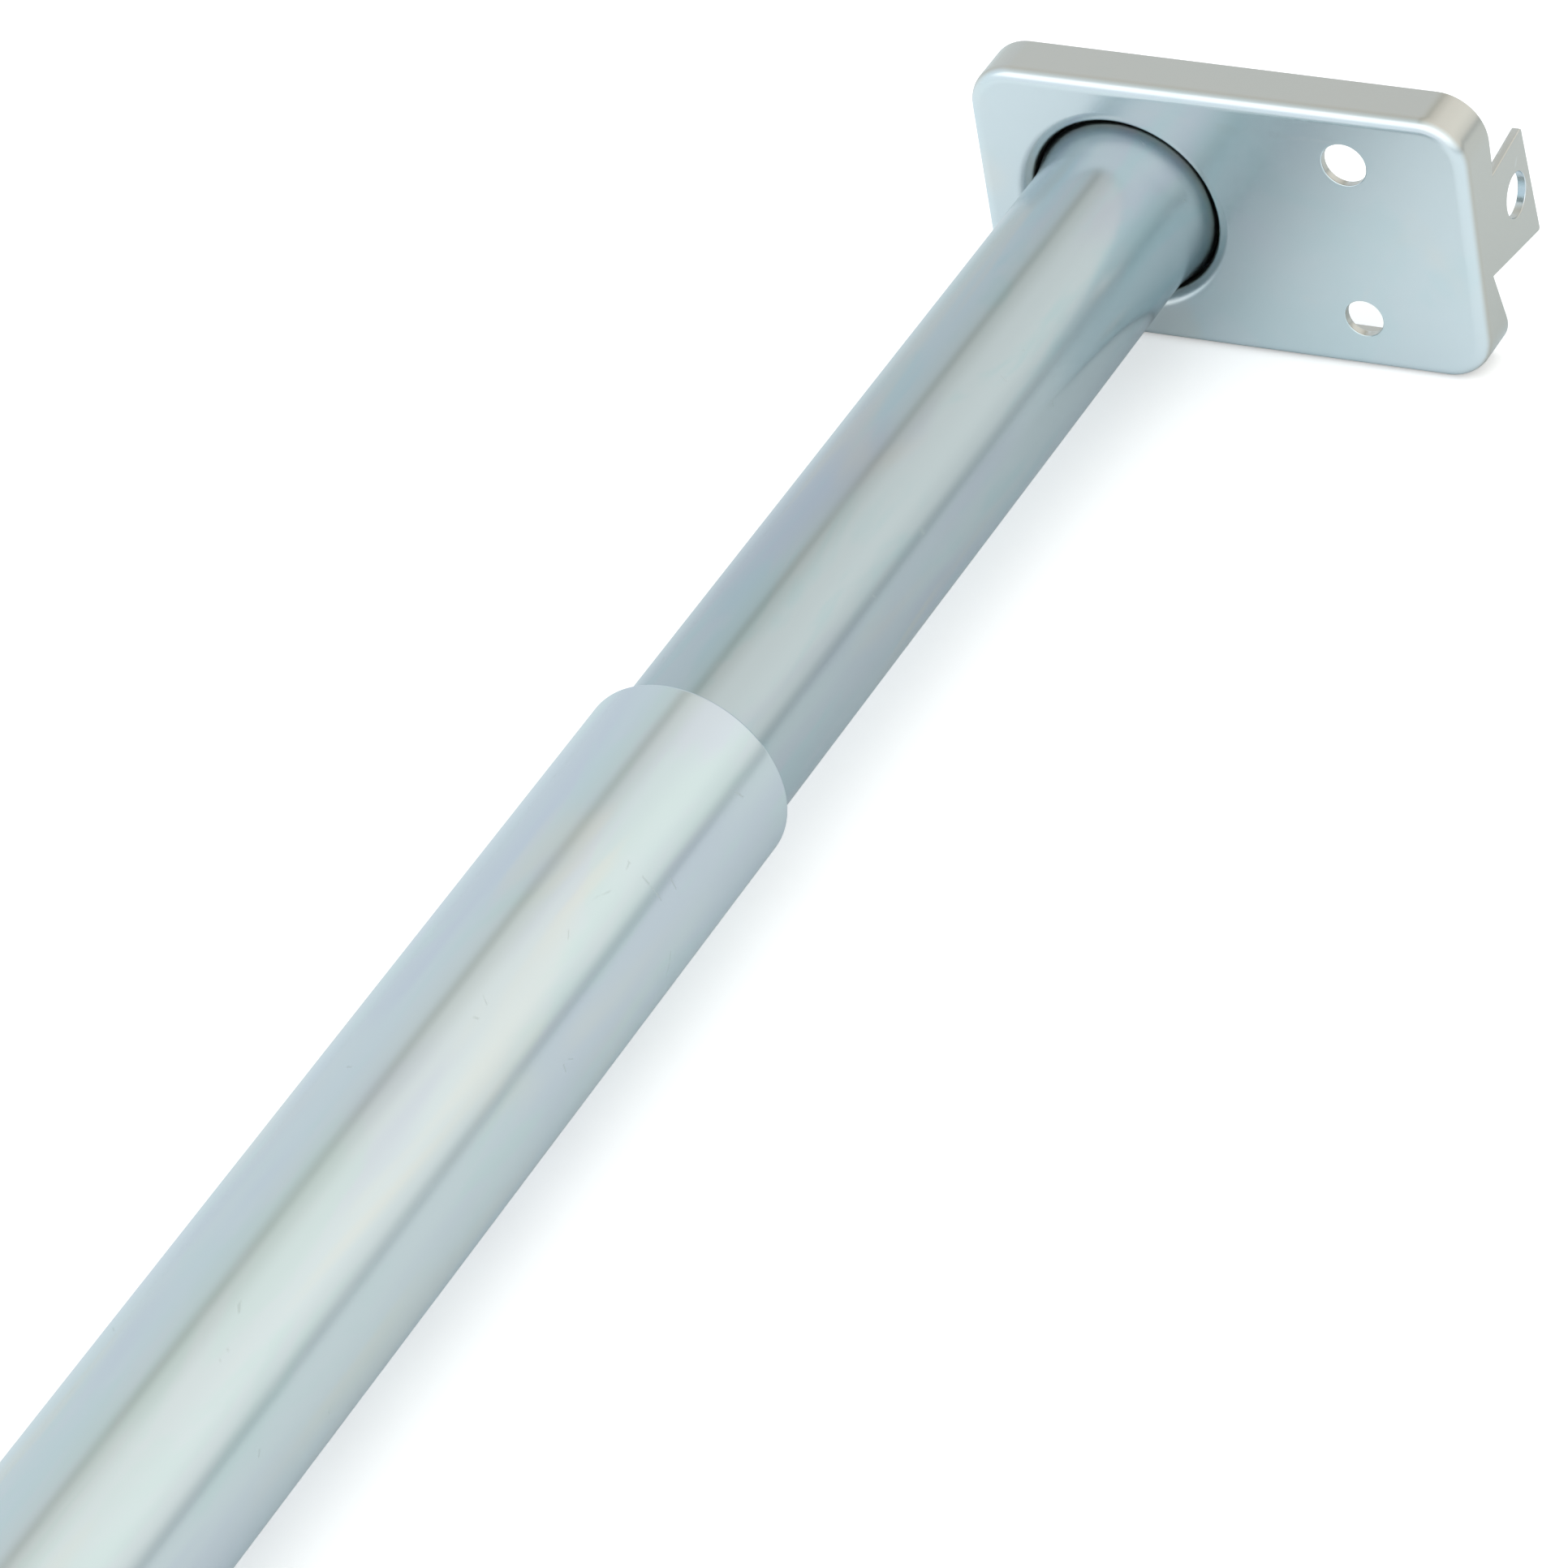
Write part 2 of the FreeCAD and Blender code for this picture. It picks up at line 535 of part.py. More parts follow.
save(extension_tube(), "extension_tube")
save(button_spring(), "button_spring")
save(snap_button(), "snap_button")
save(main_tube(), "main_tube")
save(rack_tube(), "rack_tube")
save(rack_bush(), "rack_bush")
save(jack_bracket(), "jack_bracket")
save(end_guide(), "end_guide")
save(jack_welds(), "jack_welds")
save(headed_pin(PIVOT_R, OUTER_R + JACK_SHEET, 7.5, 3.0, PIVOT_X, PIVOT_UP), "handle_pivot_pin")
save(headed_pin(HOLD_PIN_R, OUTER_R + JACK_SHEET, 5.5, 2.4, HOLD_X, HOLD_UP), "holding_pawl_pin")
save(coil(3.5, CRANK_X, SPRING_START, CRANK_UP), "drive_pawl_spring")
save(coil(3.5, HOLD_X, SPRING_START, HOLD_UP), "holding_pawl_spring")
save(spacers(CRANK_X, CRANK_UP, HANDLE_HALF - HANDLE_SHEET - 0.1), "drive_pawl_spacers")
save(spacers(HOLD_X, HOLD_UP, OUTER_R - 0.1), "holding_pawl_spacers")
save(drive_pawl(), "drive_pawl")
save(drive_pawl_pin(), "drive_pawl_pin")
save(holding_pawl(), "holding_pawl")
save(handle_lever(), "handle_lever")
save(handle_grip(), "handle_grip")
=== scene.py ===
import math

import bmesh
import bpy
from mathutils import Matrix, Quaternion, Vector


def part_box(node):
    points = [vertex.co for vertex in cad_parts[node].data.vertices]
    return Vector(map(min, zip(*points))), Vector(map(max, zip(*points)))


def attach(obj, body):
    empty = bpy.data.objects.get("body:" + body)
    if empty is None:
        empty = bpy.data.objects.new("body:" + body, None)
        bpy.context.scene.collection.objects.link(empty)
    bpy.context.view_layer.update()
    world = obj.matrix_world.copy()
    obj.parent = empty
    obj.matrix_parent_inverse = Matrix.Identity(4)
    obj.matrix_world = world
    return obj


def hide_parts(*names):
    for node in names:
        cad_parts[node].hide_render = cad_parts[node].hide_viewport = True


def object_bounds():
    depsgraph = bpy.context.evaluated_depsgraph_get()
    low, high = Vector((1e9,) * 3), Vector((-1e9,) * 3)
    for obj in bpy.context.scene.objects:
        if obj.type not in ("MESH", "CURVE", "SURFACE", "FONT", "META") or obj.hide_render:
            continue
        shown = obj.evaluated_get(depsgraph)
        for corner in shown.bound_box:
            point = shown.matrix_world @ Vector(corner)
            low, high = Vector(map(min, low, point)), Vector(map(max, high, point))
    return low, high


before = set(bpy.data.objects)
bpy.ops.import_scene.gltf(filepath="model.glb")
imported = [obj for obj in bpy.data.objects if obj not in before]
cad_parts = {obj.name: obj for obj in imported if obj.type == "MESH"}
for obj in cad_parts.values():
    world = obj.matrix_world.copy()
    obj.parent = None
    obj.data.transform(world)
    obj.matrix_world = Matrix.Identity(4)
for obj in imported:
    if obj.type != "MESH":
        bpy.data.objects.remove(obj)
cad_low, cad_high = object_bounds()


# Studio. The bar stands on the long edges of its two pans, on a plain pale sweep of card.
# A wide soft light hangs over it and the light from all round is soft and slightly cool.
sweep = bmesh.new()
for x, y in ((-9, -9), (9, -9), (9, 9), (-9, 9)):
    sweep.verts.new((x, y, cad_low.z - 0.0002))
sweep.faces.new(sweep.verts)
card_mesh = bpy.data.meshes.new("studio_card")
sweep.to_mesh(card_mesh)
studio_card = bpy.data.objects.new("studio_card", card_mesh)
bpy.context.collection.objects.link(studio_card)

card = bpy.data.materials.new("studio_card")
card.use_nodes = True
nodes, links = card.node_tree.nodes, card.node_tree.links
nodes.clear()
card_out = nodes.new("ShaderNodeOutputMaterial")
card_paint = nodes.new("ShaderNodeBsdfPrincipled")
card_paint.inputs["Base Color"].default_value = (0.90, 0.905, 0.91, 1)
card_paint.inputs["Roughness"].default_value = 0.9
card_paint.inputs["Specular IOR Level"].default_value = 0.0
card_paint.inputs["Emission Color"].default_value = (1.0, 1.0, 1.0, 1)
seen = nodes.new("ShaderNodeLightPath")
lift = nodes.new("ShaderNodeMapRange")
lift.inputs["To Min"].default_value = 0.02
lift.inputs["To Max"].default_value = 0.34
links.new(seen.outputs["Is Camera Ray"], lift.inputs["Value"])
links.new(lift.outputs["Result"], card_paint.inputs["Emission Strength"])
shaded_card = nodes.new("ShaderNodeBsdfDiffuse")
shaded_card.inputs["Color"].default_value = (0.76, 0.805, 0.825, 1)
in_metal = nodes.new("ShaderNodeMixShader")
links.new(seen.outputs["Is Glossy Ray"], in_metal.inputs["Fac"])
links.new(card_paint.outputs["BSDF"], in_metal.inputs[1])
links.new(shaded_card.outputs["BSDF"], in_metal.inputs[2])
links.new(in_metal.outputs["Shader"], card_out.inputs["Surface"])
card_mesh.materials.append(card)

# The wrap-round light: a bright overhead box with a darker gap on each side of it,
# graded by the angle round the bar, an even grey towards the two ends, and a small raised
# box behind the jack end that lights the edges of the far pan.
world = bpy.data.worlds.new("studio_light")
bpy.context.scene.world = world
world.use_nodes = True
nodes, links = world.node_tree.nodes, world.node_tree.links
nodes.clear()
world_out = nodes.new("ShaderNodeOutputWorld")
glow = nodes.new("ShaderNodeBackground")
ends = nodes.new("ShaderNodeBackground")
blend_ends = nodes.new("ShaderNodeMixShader")
where = nodes.new("ShaderNodeTexCoord")
split = nodes.new("ShaderNodeSeparateXYZ")
links.new(where.outputs["Generated"], split.inputs["Vector"])
turn = nodes.new("ShaderNodeMath")
turn.operation = "ARCTAN2"
links.new(split.outputs["Z"], turn.inputs[0])
links.new(split.outputs["Y"], turn.inputs[1])
half_turn = nodes.new("ShaderNodeMapRange")
half_turn.inputs["From Min"].default_value = 0.0
half_turn.inputs["From Max"].default_value = math.pi
links.new(turn.outputs[0], half_turn.inputs["Value"])
sky = nodes.new("ShaderNodeValToRGB")
sky.color_ramp.interpolation = "EASE"
for degrees, colour in (
    (0, (0.86, 0.92, 0.95)),
    (38, (0.84, 0.91, 0.97)),
    (64, (0.84, 0.89, 0.91)),
    (74, (0.60, 0.62, 0.58)),
    (82, (0.92, 0.93, 0.90)),
    (105, (1.12, 1.13, 1.11)),
    (140, (1.18, 1.20, 1.18)),
    (162, (1.04, 1.07, 1.06)),
    (175, (0.60, 0.66, 0.68)),
    (180, (0.62, 0.68, 0.72)),
):
    if degrees in (0, 180):
        stop = sky.color_ramp.elements[0 if degrees == 0 else -1]
        stop.position = degrees / 180
    else:
        stop = sky.color_ramp.elements.new(degrees / 180)
    stop.color = (*colour, 1)
links.new(half_turn.outputs["Result"], sky.inputs["Fac"])
links.new(sky.outputs["Color"], glow.inputs["Color"])
ends.inputs["Color"].default_value = (0.86, 0.90, 0.94, 1)
endwise = nodes.new("ShaderNodeMath")
endwise.operation = "ABSOLUTE"
links.new(split.outputs["X"], endwise.inputs[0])
near_end = nodes.new("ShaderNodeMapRange")
near_end.inputs["From Min"].default_value = 0.86
near_end.inputs["From Max"].default_value = 0.98
links.new(endwise.outputs[0], near_end.inputs["Value"])
links.new(near_end.outputs["Result"], blend_ends.inputs["Fac"])
links.new(glow.outputs["Background"], blend_ends.inputs[1])
links.new(ends.outputs["Background"], blend_ends.inputs[2])
fill_box = nodes.new("ShaderNodeBackground")
fill_box.inputs["Color"].default_value = (1.0, 0.98, 0.97, 1)
fill_box.inputs["Strength"].default_value = 1.4
behind = nodes.new("ShaderNodeMapRange")
behind.interpolation_type = "SMOOTHSTEP"
behind.inputs["From Min"].default_value = -0.25
behind.inputs["From Max"].default_value = -0.50
links.new(split.outputs["X"], behind.inputs["Value"])
raised = nodes.new("ShaderNodeMapRange")
raised.interpolation_type = "SMOOTHSTEP"
raised.inputs["From Min"].default_value = 0.30
raised.inputs["From Max"].default_value = 0.55
links.new(split.outputs["Z"], raised.inputs["Value"])
in_box = nodes.new("ShaderNodeMath")
in_box.operation = "MULTIPLY"
links.new(behind.outputs["Result"], in_box.inputs[0])
links.new(raised.outputs["Result"], in_box.inputs[1])
with_box = nodes.new("ShaderNodeMixShader")
links.new(in_box.outputs[0], with_box.inputs["Fac"])
links.new(blend_ends.outputs["Shader"], with_box.inputs[1])
links.new(fill_box.outputs["Background"], with_box.inputs[2])
links.new(with_box.outputs["Shader"], world_out.inputs["Surface"])

softbox = bpy.data.lights.new("softbox", "AREA")
softbox.shape = "RECTANGLE"
softbox.size, softbox.size_y = 3.4, 2.4
softbox.energy = 8
softbox_hung = bpy.data.objects.new("softbox", softbox)
softbox_hung.location = (0.1, -0.2, 2.2)
softbox_hung.visible_glossy = False
bpy.context.collection.objects.link(softbox_hung)

# The camera stands behind and above the jack end and looks along the bar at foot a.
EYE = Vector((-0.7709, -0.7901, 1.0455))
HEADING, DOWN, ROLL = math.radians(32.359), math.radians(35.172), math.radians(10.587)
look = Vector((math.cos(DOWN) * math.cos(HEADING), math.cos(DOWN) * math.sin(HEADING), -math.sin(DOWN)))
lens = bpy.data.cameras.new("camera")
lens.lens, lens.sensor_width = 207.8, 36.0
lens.clip_start, lens.clip_end = 0.05, 50
camera = bpy.data.objects.new("camera", lens)
camera.rotation_mode = "QUATERNION"
camera.rotation_quaternion = Quaternion(look, ROLL) @ look.to_track_quat("-Z", "Y")
camera.location = EYE
bpy.context.collection.objects.link(camera)
bpy.context.scene.camera = camera
bpy.context.scene.view_settings.view_transform = "Standard"


# Main tube: 44.45 mm welded steel tube, zinc plated with a clear blue passivate. Its mouth is
# rounded over by the cut-off tool, and a row of holes for the snap button is drilled underneath.
MM = 0.001
main_low, main_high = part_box("main_tube")
AXIS_UP = (main_low.z + main_high.z) / 2
MAIN_R = 0.022225
TUBE_WALL = 0.00165
BUTTON_HOLE_R = 0.0044
button_low, button_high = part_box("snap_button")
BUTTON_X = (button_low.x + button_high.x) / 2


def curl(x, r, radius, start, turn, steps):
    """Points of an arc in the (along, radius) plane; angles are in degrees, counterclockwise."""
    angles = [math.radians(start + turn * i / steps) for i in range(steps + 1)]
    return [(x + radius * math.cos(a), r + radius * math.sin(a)) for a in angles]


def turned(outline, steps=192):
    """Spin a closed outline of (along, radius) points about the bar's axis."""
    mesh = bmesh.new()
    rings = []
    for i in range(steps):
        a = 2 * math.pi * i / steps
        rings.append([mesh.verts.new((x, r * math.sin(a), AXIS_UP + r * math.cos(a))) for x, r in outline])
    for i in range(steps):
        here, there = rings[i], rings[(i + 1) % steps]
        for j in range(len(outline)):
            k = (j + 1) % len(outline)
            mesh.faces.new((here[j], here[k], there[k], there[j]))
    bmesh.ops.recalc_face_normals(mesh, faces=mesh.faces)
    return mesh


def made(mesh, name):
    """Turn finished mesh work into a smooth-shaded object in the scene."""
    for face in mesh.faces:
        face.smooth = True
    data = bpy.data.meshes.new(name)
    mesh.to_mesh(data)
    mesh.free()
    piece = bpy.data.objects.new(name, data)
    bpy.context.collection.objects.link(piece)
    return piece


def settle(piece):
    """Apply a piece's modifiers to its mesh."""
    bpy.context.view_layer.update()
    ready = piece.evaluated_get(bpy.context.evaluated_depsgraph_get())
    old = piece.data
    fresh = bpy.data.meshes.new_from_object(ready)
    piece.modifiers.clear()
    piece.data = fresh
    fresh.name = piece.name
    bpy.data.meshes.remove(old)


def cut_with(piece, cutter):
    """Cut a cutter's shape out of a piece."""
    knife = made(cutter, piece.name + "_cutter")
    saw = piece.modifiers.new("saw", "BOOLEAN")
    saw.operation = "DIFFERENCE"
    saw.solver = "EXACT"
    saw.object = knife
    settle(piece)
    bpy.data.objects.remove(knife)


def break_edges(piece, width, angle=50, rounds=2):
    """Round every sharp edge a little and keep the flats flat when shaded."""
    edge = piece.modifiers.new("broken_edge", "BEVEL")
    edge.width = width
    edge.segments = rounds
    edge.limit_method = "ANGLE"
    edge.angle_limit = math.radians(angle)
    edge.harden_normals = False
    flat = piece.modifiers.new("flat_faces", "WEIGHTED_NORMAL")
    flat.mode = "FACE_AREA"
    flat.weight = 60
    flat.keep_sharp = True
    settle(piece)


def run(start, stop, r, pitch=0.030):
    """Evenly spaced points along a straight stretch of tube, its ends left out."""
    count = max(2, round(abs(stop - start) / pitch))
    return [(start + (stop - start) * i / count, r) for i in range(1, count)]


lip = 0.75 * MM
tube_outline = (
    [(main_low.x, MAIN_R - 0.2 * MM), (main_low.x + 0.2 * MM, MAIN_R), (main_low.x + 1.2 * MM, MAIN_R)]
    + run(main_low.x + 1.2 * MM, main_high.x - 2 * MM, MAIN_R)
    + [(main_high.x - 2 * MM, MAIN_R)]
    + curl(main_high.x - lip, MAIN_R - lip, lip, 90, -90, 5)
    + curl(main_high.x - lip, MAIN_R - TUBE_WALL + lip, lip, 0, -90, 5)
    + [(main_high.x - 2 * MM, MAIN_R - TUBE_WALL), (main_low.x + 0.2 * MM, MAIN_R - TUBE_WALL),
       (main_low.x, MAIN_R - TUBE_WALL + 0.2 * MM)]
)
main_tube = made(turned(tube_outline), "main_tube_skin")
drills = bmesh.new()
for i in range(-6, 7):
    drill = bmesh.ops.create_cone(
        drills, cap_ends=True, segments=48, radius1=BUTTON_HOLE_R, radius2=BUTTON_HOLE_R, depth=0.012
    )
    bmesh.ops.translate(drills, verts=drill["verts"], vec=(BUTTON_X + 0.030 * i, 0, AXIS_UP - MAIN_R))
cut_with(main_tube, drills)
break_edges(main_tube, 0.25 * MM)
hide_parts("main_tube")
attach(main_tube, "main")


def new_group(name, inputs, outputs):
    """A shader node group with its named sockets; inputs carry their starting values."""
    group = bpy.data.node_groups.new(name, "ShaderNodeTree")
    for label, kind, start in inputs:
        socket = group.interface.new_socket(label, in_out="INPUT", socket_type="NodeSocket" + kind)
        socket.default_value = start
    for label, kind in outputs:
        group.interface.new_socket(label, in_out="OUTPUT", socket_type="NodeSocket" + kind)
    return group, group.nodes.new("NodeGroupInput"), group.nodes.new("NodeGroupOutput")


def put(tree, kind, settings=(), feeds=()):
    """Add a node, set its fields and sockets, and link what feeds it."""
    node = tree.nodes.new(kind)
    for field, value in settings:
        if isinstance(field, str) and hasattr(node, field):
            setattr(node, field, value)
        else:
            node.inputs[field].default_value = value
    for socket, source in feeds:
        tree.links.new(source, node.inputs[socket])
    return node


def sums(tree, operation, a, b, clamp=False):
    """A maths node; a and b are sockets or plain numbers."""
    node = tree.nodes.new("ShaderNodeMath")
    node.operation = operation
    node.use_clamp = clamp
    for i, value in enumerate((a, b)):
        if isinstance(value, (int, float)):
            node.inputs[i].default_value = value
        else:
            tree.links.new(value, node.inputs[i])
    return node.outputs[0]


def ramp(tree, value, low, high, out_low=0.0, out_high=1.0):
    """Ease a value from low to high."""
    node = put(tree, "ShaderNodeMapRange", (("interpolation_type", "SMOOTHSTEP"),), (("Value", value),))
    for label, number in (("From Min", low), ("From Max", high), ("To Min", out_low), ("To Max", out_high)):
        node.inputs[label].default_value = number
    return node.outputs["Result"]


def tint(tree, amount, under, over):
    """Mix two colours by an amount."""
    node = tree.nodes.new("ShaderNodeMix")
    node.data_type = "RGBA"
    for socket, value in ((0, amount), (6, under), (7, over)):
        if isinstance(value, tuple):
            node.inputs[socket].default_value = value
        elif isinstance(value, float):
            node.inputs[socket].default_value = value
        else:
            tree.links.new(value, node.inputs[socket])
    return node.outputs[2]


def clouds(tree, place, scale, detail=3.0, rough=0.55, warp=0.0):
    """A noise value over the surface."""
    node = put(tree, "ShaderNodeTexNoise", (("Scale", scale), ("Detail", detail), ("Roughness", rough),
                                            ("Distortion", warp)), (("Vector", place),))
    return node.outputs["Fac"]


def stretched(tree, place, stretch):
    """The place on the piece, scaled by a vector."""
    node = tree.nodes.new("ShaderNodeVectorMath")
    node.operation = "MULTIPLY"
    tree.links.new(place, node.inputs[0])
    if isinstance(stretch, tuple):
        node.inputs[1].default_value = stretch
    else:
        tree.links.new(stretch, node.inputs[1])
    return node.outputs[0]


# zinc passivate: a thin film that drifts from clear to lilac, sea green and straw, over fine
# draw lines left by the tube mill or the press, with a few handling scuffs through it.
zinc_film, film_in, film_out = new_group(
    "zinc_film",
    (("Zinc", "Color", (0.6, 0.66, 0.7, 1)), ("Lilac", "Color", (0.55, 0.57, 0.70, 1)),
     ("Sea green", "Color", (0.52, 0.68, 0.66, 1)), ("Straw", "Color", (0.74, 0.71, 0.62, 1)),
     ("Film", "Float", 0.5), ("Stretch", "Vector", (5, 40, 40)), ("Lines", "Vector", (8, 1600, 1600)),
     ("Gloss roughness", "Float", 0.22), ("Scuffs", "Float", 0.5)),
    (("Color", "Color"), ("Roughness", "Float"), ("Height", "Float")),
)
place = put(zinc_film, "ShaderNodeTexCoord").outputs["Object"]
drift = stretched(zinc_film, place, film_in.outputs["Stretch"])
broad = clouds(zinc_film, drift, 1.0, 2.0, 0.5, 0.4)
finer = clouds(zinc_film, stretched(zinc_film, drift, (2.3, 1.7, 1.7)), 1.0, 3.0, 0.6, 0.6)
shifted = put(zinc_film, "ShaderNodeVectorMath", (("operation", "ADD"), (1, (7.3, 2.1, 4.4))), ((0, drift),))
third = clouds(zinc_film, shifted.outputs[0], 1.3, 2.0, 0.5, 0.5)
film = film_in.outputs["Film"]
lilac_spread = sums(zinc_film, "MULTIPLY", ramp(zinc_film, broad, 0.46, 0.62), film)
green_spread = sums(zinc_film, "MULTIPLY", ramp(zinc_film, finer, 0.48, 0.66), film)
straw_spread = sums(zinc_film, "MULTIPLY", ramp(zinc_film, third, 0.55, 0.70), film)
hue = tint(zinc_film, lilac_spread, film_in.outputs["Zinc"], film_in.outputs["Lilac"])
hue = tint(zinc_film, green_spread, hue, film_in.outputs["Sea green"])
hue = tint(zinc_film, straw_spread, hue, film_in.outputs["Straw"])
line_place = stretched(zinc_film, place, film_in.outputs["Lines"])
lines = clouds(zinc_film, line_place, 1.0, 2.0, 0.5)
speck = clouds(zinc_film, place, 1900.0, 2.0, 0.6)
bent = put(zinc_film, "ShaderNodeTexNoise", (("Scale", 45.0), ("Detail", 1.0)), (("Vector", place),))
wander = put(zinc_film, "ShaderNodeVectorMath", (("operation", "MULTIPLY_ADD"), (1, (0.02, 0.02, 0.02))),
             ((0, bent.outputs["Color"]), (2, place)))
cells = put(zinc_film, "ShaderNodeTexVoronoi", (("feature", "DISTANCE_TO_EDGE"), ("Scale", 42.0)),
            (("Vector", wander.outputs[0]),))
hair = ramp(zinc_film, cells.outputs["Distance"], 0.0, 0.016, 1.0, 0.0)
patch = ramp(zinc_film, clouds(zinc_film, shifted.outputs[0], 3.1, 2.0), 0.63, 0.68)
scuff = sums(zinc_film, "MULTIPLY", sums(zinc_film, "MULTIPLY", hair, patch), film_in.outputs["Scuffs"])
hue = tint(zinc_film, sums(zinc_film, "MULTIPLY", scuff, 0.5), hue, (0.40, 0.46, 0.42, 1))
rub = ramp(zinc_film, clouds(zinc_film, shifted.outputs[0], 2.2, 4.0, 0.7), 0.45, 0.75, 0.0, 0.05)
rough = sums(zinc_film, "ADD", film_in.outputs["Gloss roughness"], rub)
rough = sums(zinc_film, "ADD", rough, sums(zinc_film, "MULTIPLY", speck, 0.03))
rough = sums(zinc_film, "ADD", rough, sums(zinc_film, "MULTIPLY", scuff, 0.2), True)
height = sums(zinc_film, "ADD", sums(zinc_film, "MULTIPLY", lines, 0.5),
              sums(zinc_film, "MULTIPLY", broad, 2.5))
height = sums(zinc_film, "SUBTRACT", height, sums(zinc_film, "MULTIPLY", scuff, 1.5))
height = sums(zinc_film, "ADD", height, sums(zinc_film, "MULTIPLY", speck, 0.12))
for label, source in (("Color", hue), ("Roughness", rough), ("Height", height)):
    zinc_film.links.new(source, film_out.inputs[label])

# edge wear: plating rubbed bright where two faces meet.
edge_wear, wear_in, wear_out = new_group(
    "edge_wear",
    (("Color", "Color", (0.5, 0.5, 0.5, 1)), ("Bare metal", "Color", (0.8, 0.8, 0.8, 1)),
     ("Roughness", "Float", 0.3), ("Amount", "Float", 0.5)),
    (("Color", "Color"), ("Roughness", "Float")),
)
geometry = put(edge_wear, "ShaderNodeNewGeometry")
wear_place = put(edge_wear, "ShaderNodeTexCoord").outputs["Object"]
worn = ramp(edge_wear, geometry.outputs["Pointiness"], 0.53, 0.60)
broken = ramp(edge_wear, clouds(edge_wear, wear_place, 420.0, 4.0, 0.65), 0.38, 0.62)
worn = sums(edge_wear, "MULTIPLY", sums(edge_wear, "MULTIPLY", worn, broken), wear_in.outputs["Amount"])
edge_wear.links.new(tint(edge_wear, worn, wear_in.outputs["Color"], wear_in.outputs["Bare metal"]),
                    wear_out.inputs["Color"])
smoother = sums(edge_wear, "MULTIPLY", worn, -0.12)
worn_rough = sums(edge_wear, "ADD", wear_in.outputs["Roughness"], smoother)
edge_wear.links.new(worn_rough, wear_out.inputs["Roughness"])


def use(tree, group, settings=(), feeds=()):
    """Place a node group in a material."""
    node = tree.nodes.new("ShaderNodeGroup")
    node.node_tree = group
    for label, value in settings:
        node.inputs[label].default_value = value
    for label, source in feeds:
        tree.links.new(source, node.inputs[label])
    return node


def zinc(name, film_settings, bump, wear=0.4, edge_tint=(0.93, 0.97, 1.0, 1), sides=None):
    """A plated steel material with its own zinc colour, film and lines. sides is the colour and
    strength of a painted shade, straw-tinted, laid on faces that don't point along the bar."""
    material = bpy.data.materials.new(name)
    material.use_nodes = True
    tree = material.node_tree
    tree.nodes.clear()
    out = tree.nodes.new("ShaderNodeOutputMaterial")
    coat = use(tree, zinc_film, film_settings)
    hue = coat.outputs["Color"]
    if sides:
        normal = put(tree, "ShaderNodeTexCoord").outputs["Normal"]
        facing = put(tree, "ShaderNodeSeparateXYZ", (), ((0, normal),))
        # painted shade: faces that don't point along the bar are darkened towards the sides colour
        painted_side_shade = ramp(tree, sums(tree, "ABSOLUTE", facing.outputs["X"], 0), 0.75, 0.25, 0.0, sides[1])
        hue = tint(tree, painted_side_shade, hue, sides[0])
    rubbed = use(tree, edge_wear, (("Bare metal", (0.80, 0.83, 0.84, 1)), ("Amount", wear)),
                 (("Color", hue), ("Roughness", coat.outputs["Roughness"])))
    dents = put(tree, "ShaderNodeBump", (("Strength", 1.0), ("Distance", bump)),
                (("Height", coat.outputs["Height"]),))
    metal = put(tree, "ShaderNodeBsdfPrincipled", (("Metallic", 1.0), ("Specular Tint", edge_tint)),
                (("Base Color", rubbed.outputs["Color"]), ("Roughness", rubbed.outputs["Roughness"]),
                 ("Normal", dents.outputs["Normal"])))
    tree.links.new(metal.outputs["BSDF"], out.inputs["Surface"])
    return material


# The edge wear on the main tube brightens its rounded mouth: partly rubbed plating, partly a painted
# highlight on the lip.
main_tube.data.materials.clear()
main_tube.data.materials.append(zinc("main_tube_zinc", (
    ("Zinc", (0.600, 0.660, 0.670, 1)), ("Lilac", (0.560, 0.600, 0.665, 1)),
    ("Sea green", (0.560, 0.665, 0.650, 1)), ("Straw", (0.650, 0.665, 0.625, 1)),
    ("Film", 0.60), ("Stretch", (9, 60, 60)), ("Lines", (8, 1600, 1600)),
    ("Gloss roughness", 0.17), ("Scuffs", 0.7)), 0.000004, 0.5))


# Extension tube: 38.1 mm tube that slides out of the main tube. Its foot end is swollen to
# fill the pan's hole and belled over behind it. One hole near its inner end takes the button.
INNER_R = 0.01905
SEAT_R = 0.0207
BELL_R = 0.0236


def belled(foot_x, other_end, side):
    """The outline of a belled tube: side is 1 for a foot towards +X, -1 towards -X."""
    def at(points):
        return [(foot_x + side * x, r) for x, r in points]
    outside = curl(-8 * MM, INNER_R + 34 * MM, 34 * MM, 270, 16.5, 14)
    outside += curl(3.38 * MM, SEAT_R - 6.07 * MM, 6.07 * MM, 106.5, -16.5, 8)[1:]
    outside += curl(6 * MM, SEAT_R + 2 * MM, 2 * MM, 270, 90, 8)
    outside += [(8 * MM, BELL_R - 0.3 * MM), (8.3 * MM, BELL_R), (9.35 * MM, BELL_R),
                (9.65 * MM, BELL_R - 0.3 * MM)]
    inside = curl(-8 * MM, INNER_R + 34 * MM, 34 * MM + TUBE_WALL, 270, 16.5, 14)
    inside += curl(3.38 * MM, SEAT_R - 6.07 * MM, 6.07 * MM - TUBE_WALL, 106.5, -16.5, 8)[1:]
    inside += curl(6 * MM, SEAT_R + 2 * MM, 2 * MM + TUBE_WALL, 270, 90, 8)
    far = [(other_end, INNER_R - 0.3 * MM), (other_end + side * 0.3 * MM, INNER_R)]
    far += run(other_end + side * 0.3 * MM, foot_x - side * 9 * MM, INNER_R)
    far += [(foot_x - side * 9 * MM, INNER_R)]
    back = [(other_end + side * 0.3 * MM, INNER_R - TUBE_WALL), (other_end, INNER_R - TUBE_WALL + 0.3 * MM)]
    return far + at(outside) + list(reversed(at(inside))) + back


